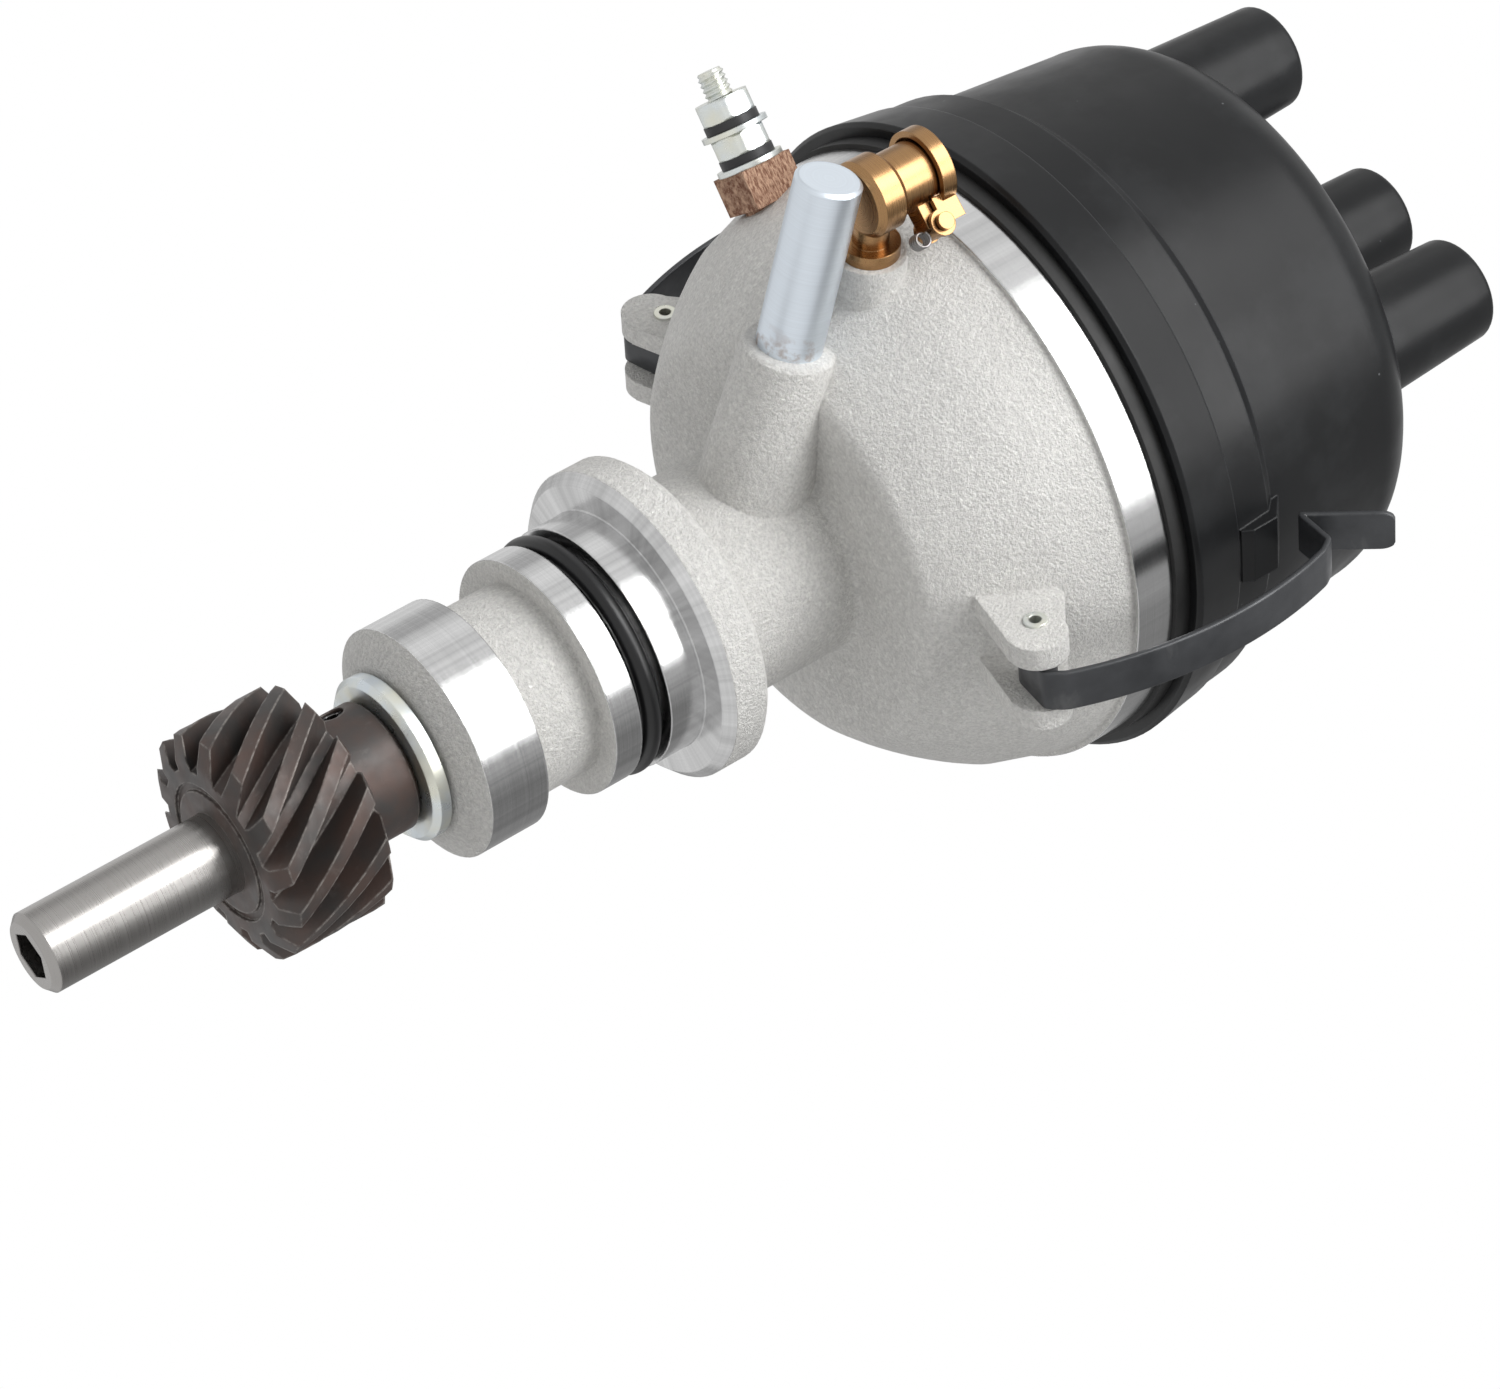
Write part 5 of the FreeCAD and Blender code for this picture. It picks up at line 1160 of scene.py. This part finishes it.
@dataclass
class Cap:
    """Moulded cap with its contacts and brush."""

    def build(self, shop: Workshop) -> None:
        """Dress the cap and the metal moulded into it.

        Args:
            shop: The workshop that makes and places the pieces.
        """
        f = shop.finishes
        shop.smooth("cap", f.cap, 28.0)
        shop.smooth("tower_inserts", f.contact)
        shop.smooth("carbon_brush", f.carbon)
        shop.smooth("brush_spring", f.wire)


@dataclass
class AdvanceUnit:
    """Centrifugal advance and the cam."""

    steel_nodes: tuple[str, ...] = (
        "advance_base",
        "weight_pins",
        "weight_front",
        "weight_rear",
        "cam_sleeve",
    )

    def build(self, shop: Workshop) -> None:
        """Dress the weights, springs and cam sleeve.

        Args:
            shop: The workshop that makes and places the pieces.
        """
        f = shop.finishes
        for node in self.steel_nodes:
            shop.smooth(node, f.inner_steel)
        shop.smooth("advance_springs", f.wire)
        shop.paint("cam_felt", f.felt)


@dataclass
class ContactSet:
    """Breaker plate with points and condenser."""

    zinc_nodes: tuple[str, ...] = (
        "breaker_plate",
        "plate_screws",
        "points_base",
        "points_screw",
        "points_arm",
        "condenser_strap",
        "condenser_screw",
    )

    def build(self, shop: Workshop) -> None:
        """Dress everything on the breaker plate.

        Args:
            shop: The workshop that makes and places the pieces.
        """
        f = shop.finishes
        for node in self.zinc_nodes:
            shop.smooth(node, f.zinc)
        shop.smooth("points_pivot", f.inner_steel)
        shop.smooth("points_spring", f.wire)
        shop.smooth("anchor_post", f.laminate)
        shop.smooth("condenser", f.can)
        shop.smooth("condenser_lead", f.lead)


@dataclass
class Rotor:
    """Rotor arm with its brass blade."""

    def build(self, shop: Workshop) -> None:
        """Dress the moulding and the blade."""
        shop.smooth("rotor", shop.finishes.rotor)
        shop.smooth("rotor_blade", shop.finishes.brass)


@dataclass
class Studio:
    """Camera, lamps, world and floor."""

    camera_at: Point = (422.87, 459.96, -297.55)
    right: Point = (-0.0844, 0.6205, 0.7797)
    up: Point = (0.7772, -0.4487, 0.4412)
    forward: Point = (-0.6236, -0.6432, 0.4444)
    focal_px: float = 4940.17
    image_width: int = 1500
    sensor: float = 36.0
    floor_z: float = -520.0
    lamp_distance: float = 900.0
    lamps: tuple[tuple[str, Point, float, float], ...] = field(
        default=(
            ("key", (0.62, 0.52, 0.60), 6.6, 560.0),
            ("side", (0.95, 0.05, 0.45), 3.5, 420.0),
            ("fill", (-0.6, -0.5, 0.8), 0.6, 700.0),
        )
    )

    def camera(self) -> None:
        """Camera at the photograph's place, aim and focal length."""
        data = bpy.data.cameras.new("photo_camera")
        data.sensor_fit = "HORIZONTAL"
        data.sensor_width = self.sensor
        data.lens = self.focal_px * self.sensor / self.image_width
        data.clip_start = 0.01
        data.clip_end = 20.0
        eye = bpy.data.objects.new("photo_camera", data)
        bpy.context.scene.collection.objects.link(eye)
        axes = Matrix((self.right, self.up, tuple(-c for c in self.forward))).transposed()
        eye.matrix_world = Matrix.Translation(Vector(self.camera_at) * MM) @ axes.normalized().to_4x4()
        bpy.context.scene.camera = eye

    def light(self) -> None:
        """Soft lamps placed by the photograph's right, up and towards it."""
        middle = Vector((0.0, 0.0, 30.0)) * MM
        for name, (across, above, near), power, size in self.lamps:
            aim = (
                Vector(self.right) * across + Vector(self.up) * above - Vector(self.forward) * near
            ).normalized()
            data = bpy.data.lights.new(name, "AREA")
            data.shape = "SQUARE"
            data.size = size * MM
            data.energy = power
            lamp = bpy.data.objects.new(name, data)
            bpy.context.scene.collection.objects.link(lamp)
            lamp.location = middle + aim * self.lamp_distance * MM
            lamp.rotation_euler = aim.to_track_quat("Z", "Y").to_euler()

    def world(self) -> None:
        """White to the camera, a soft studio gradient to the metal."""
        world = bpy.data.worlds.new("studio")
        world.use_nodes = True
        world.node_tree.nodes.clear()
        bpy.context.scene.world = world
        graph = Graph(world.node_tree)
        way = graph.node("ShaderNodeTexCoord").outputs["Generated"]
        rise = graph.node("ShaderNodeVectorMath", {0: way, 1: self.up}, operation="DOT_PRODUCT")
        across = graph.node("ShaderNodeVectorMath", {0: way, 1: self.right}, operation="DOT_PRODUCT")
        lifted = graph.span(rise.outputs["Value"], -0.75, 0.65, 0.34, 1.0)
        slant = graph.math("MULTIPLY", rise.outputs["Value"], 7.0)
        sweep = graph.math("MULTIPLY", across.outputs["Value"], 4.0)
        wave = graph.math("SINE", graph.math("ADD", sweep, slant))
        tone = graph.math("MULTIPLY", lifted, graph.span(wave, -0.75, 0.1, 0.6, 1.0))
        grey = graph.node("ShaderNodeCombineColor", {0: tone, 1: tone, 2: tone})
        white = graph.node("ShaderNodeBackground", {"Color": (1.0, 1.0, 1.0, 1.0), "Strength": 1.0})
        shine = graph.node("ShaderNodeBackground", {"Color": grey.outputs[0], "Strength": 1.0})
        ambient = graph.node("ShaderNodeBackground", {"Color": (1.0, 1.0, 1.0, 1.0), "Strength": 0.38})
        ray = graph.node("ShaderNodeLightPath")
        mirror = graph.math("MAXIMUM", ray.outputs["Is Glossy Ray"], ray.outputs["Is Transmission Ray"])
        inner = graph.node("ShaderNodeMixShader", {0: mirror, 1: ambient.outputs[0], 2: shine.outputs[0]})
        outer = graph.node(
            "ShaderNodeMixShader", {0: ray.outputs["Is Camera Ray"], 1: inner.outputs[0], 2: white.outputs[0]}
        )
        output = graph.node("ShaderNodeOutputWorld")
        graph.feed(output.inputs["Surface"], outer.outputs[0])

    def floor(self) -> None:
        """Pale floor far below, mostly white to the camera and to metal."""
        reach = 6.0
        mesh = bpy.data.meshes.new("floor")
        corners = [(-reach, -reach), (reach, -reach), (reach, reach), (-reach, reach)]
        mesh.from_pydata([(x, y, self.floor_z * MM) for x, y in corners], [], [(0, 1, 2, 3)])
        made = bpy.data.materials.new("pale_floor")
        made.use_nodes = True
        made.node_tree.nodes.clear()
        graph = Graph(made.node_tree)
        paper = graph.node("ShaderNodeBsdfDiffuse", {"Color": (0.86, 0.86, 0.86, 1.0)})
        glow = graph.node("ShaderNodeEmission", {"Color": (1.0, 1.0, 1.0, 1.0), "Strength": 1.0})
        ray = graph.node("ShaderNodeLightPath")
        seen = graph.math("MAXIMUM", ray.outputs["Is Camera Ray"], ray.outputs["Is Glossy Ray"])
        mixed = graph.node(
            "ShaderNodeMixShader",
            {0: graph.math("MULTIPLY", seen, 0.75), 1: paper.outputs[0], 2: glow.outputs[0]},
        )
        output = graph.node("ShaderNodeOutputMaterial")
        graph.feed(output.inputs["Surface"], mixed.outputs[0])
        mesh.materials.append(made)
        piece = bpy.data.objects.new("floor", mesh)
        bpy.context.scene.collection.objects.link(piece)

    def build(self) -> None:
        """Set up the whole studio."""
        self.camera()
        self.light()
        self.world()
        self.floor()
        bpy.context.scene.view_settings.view_transform = "Standard"


def main() -> None:
    """Dress the distributor, one sub-assembly after another."""
    logging.basicConfig(level=logging.INFO, format="%(name)s: %(message)s")
    shop = Workshop()
    for assembly in (
        Housing(),
        SidePost(),
        OilCup(),
        Terminal(),
        SpringClips(),
        DriveEnd(),
        Cap(),
        AdvanceUnit(),
        ContactSet(),
        Rotor(),
    ):
        assembly.build(shop)
    Studio().build()


if __name__ == "__main__":
    main()
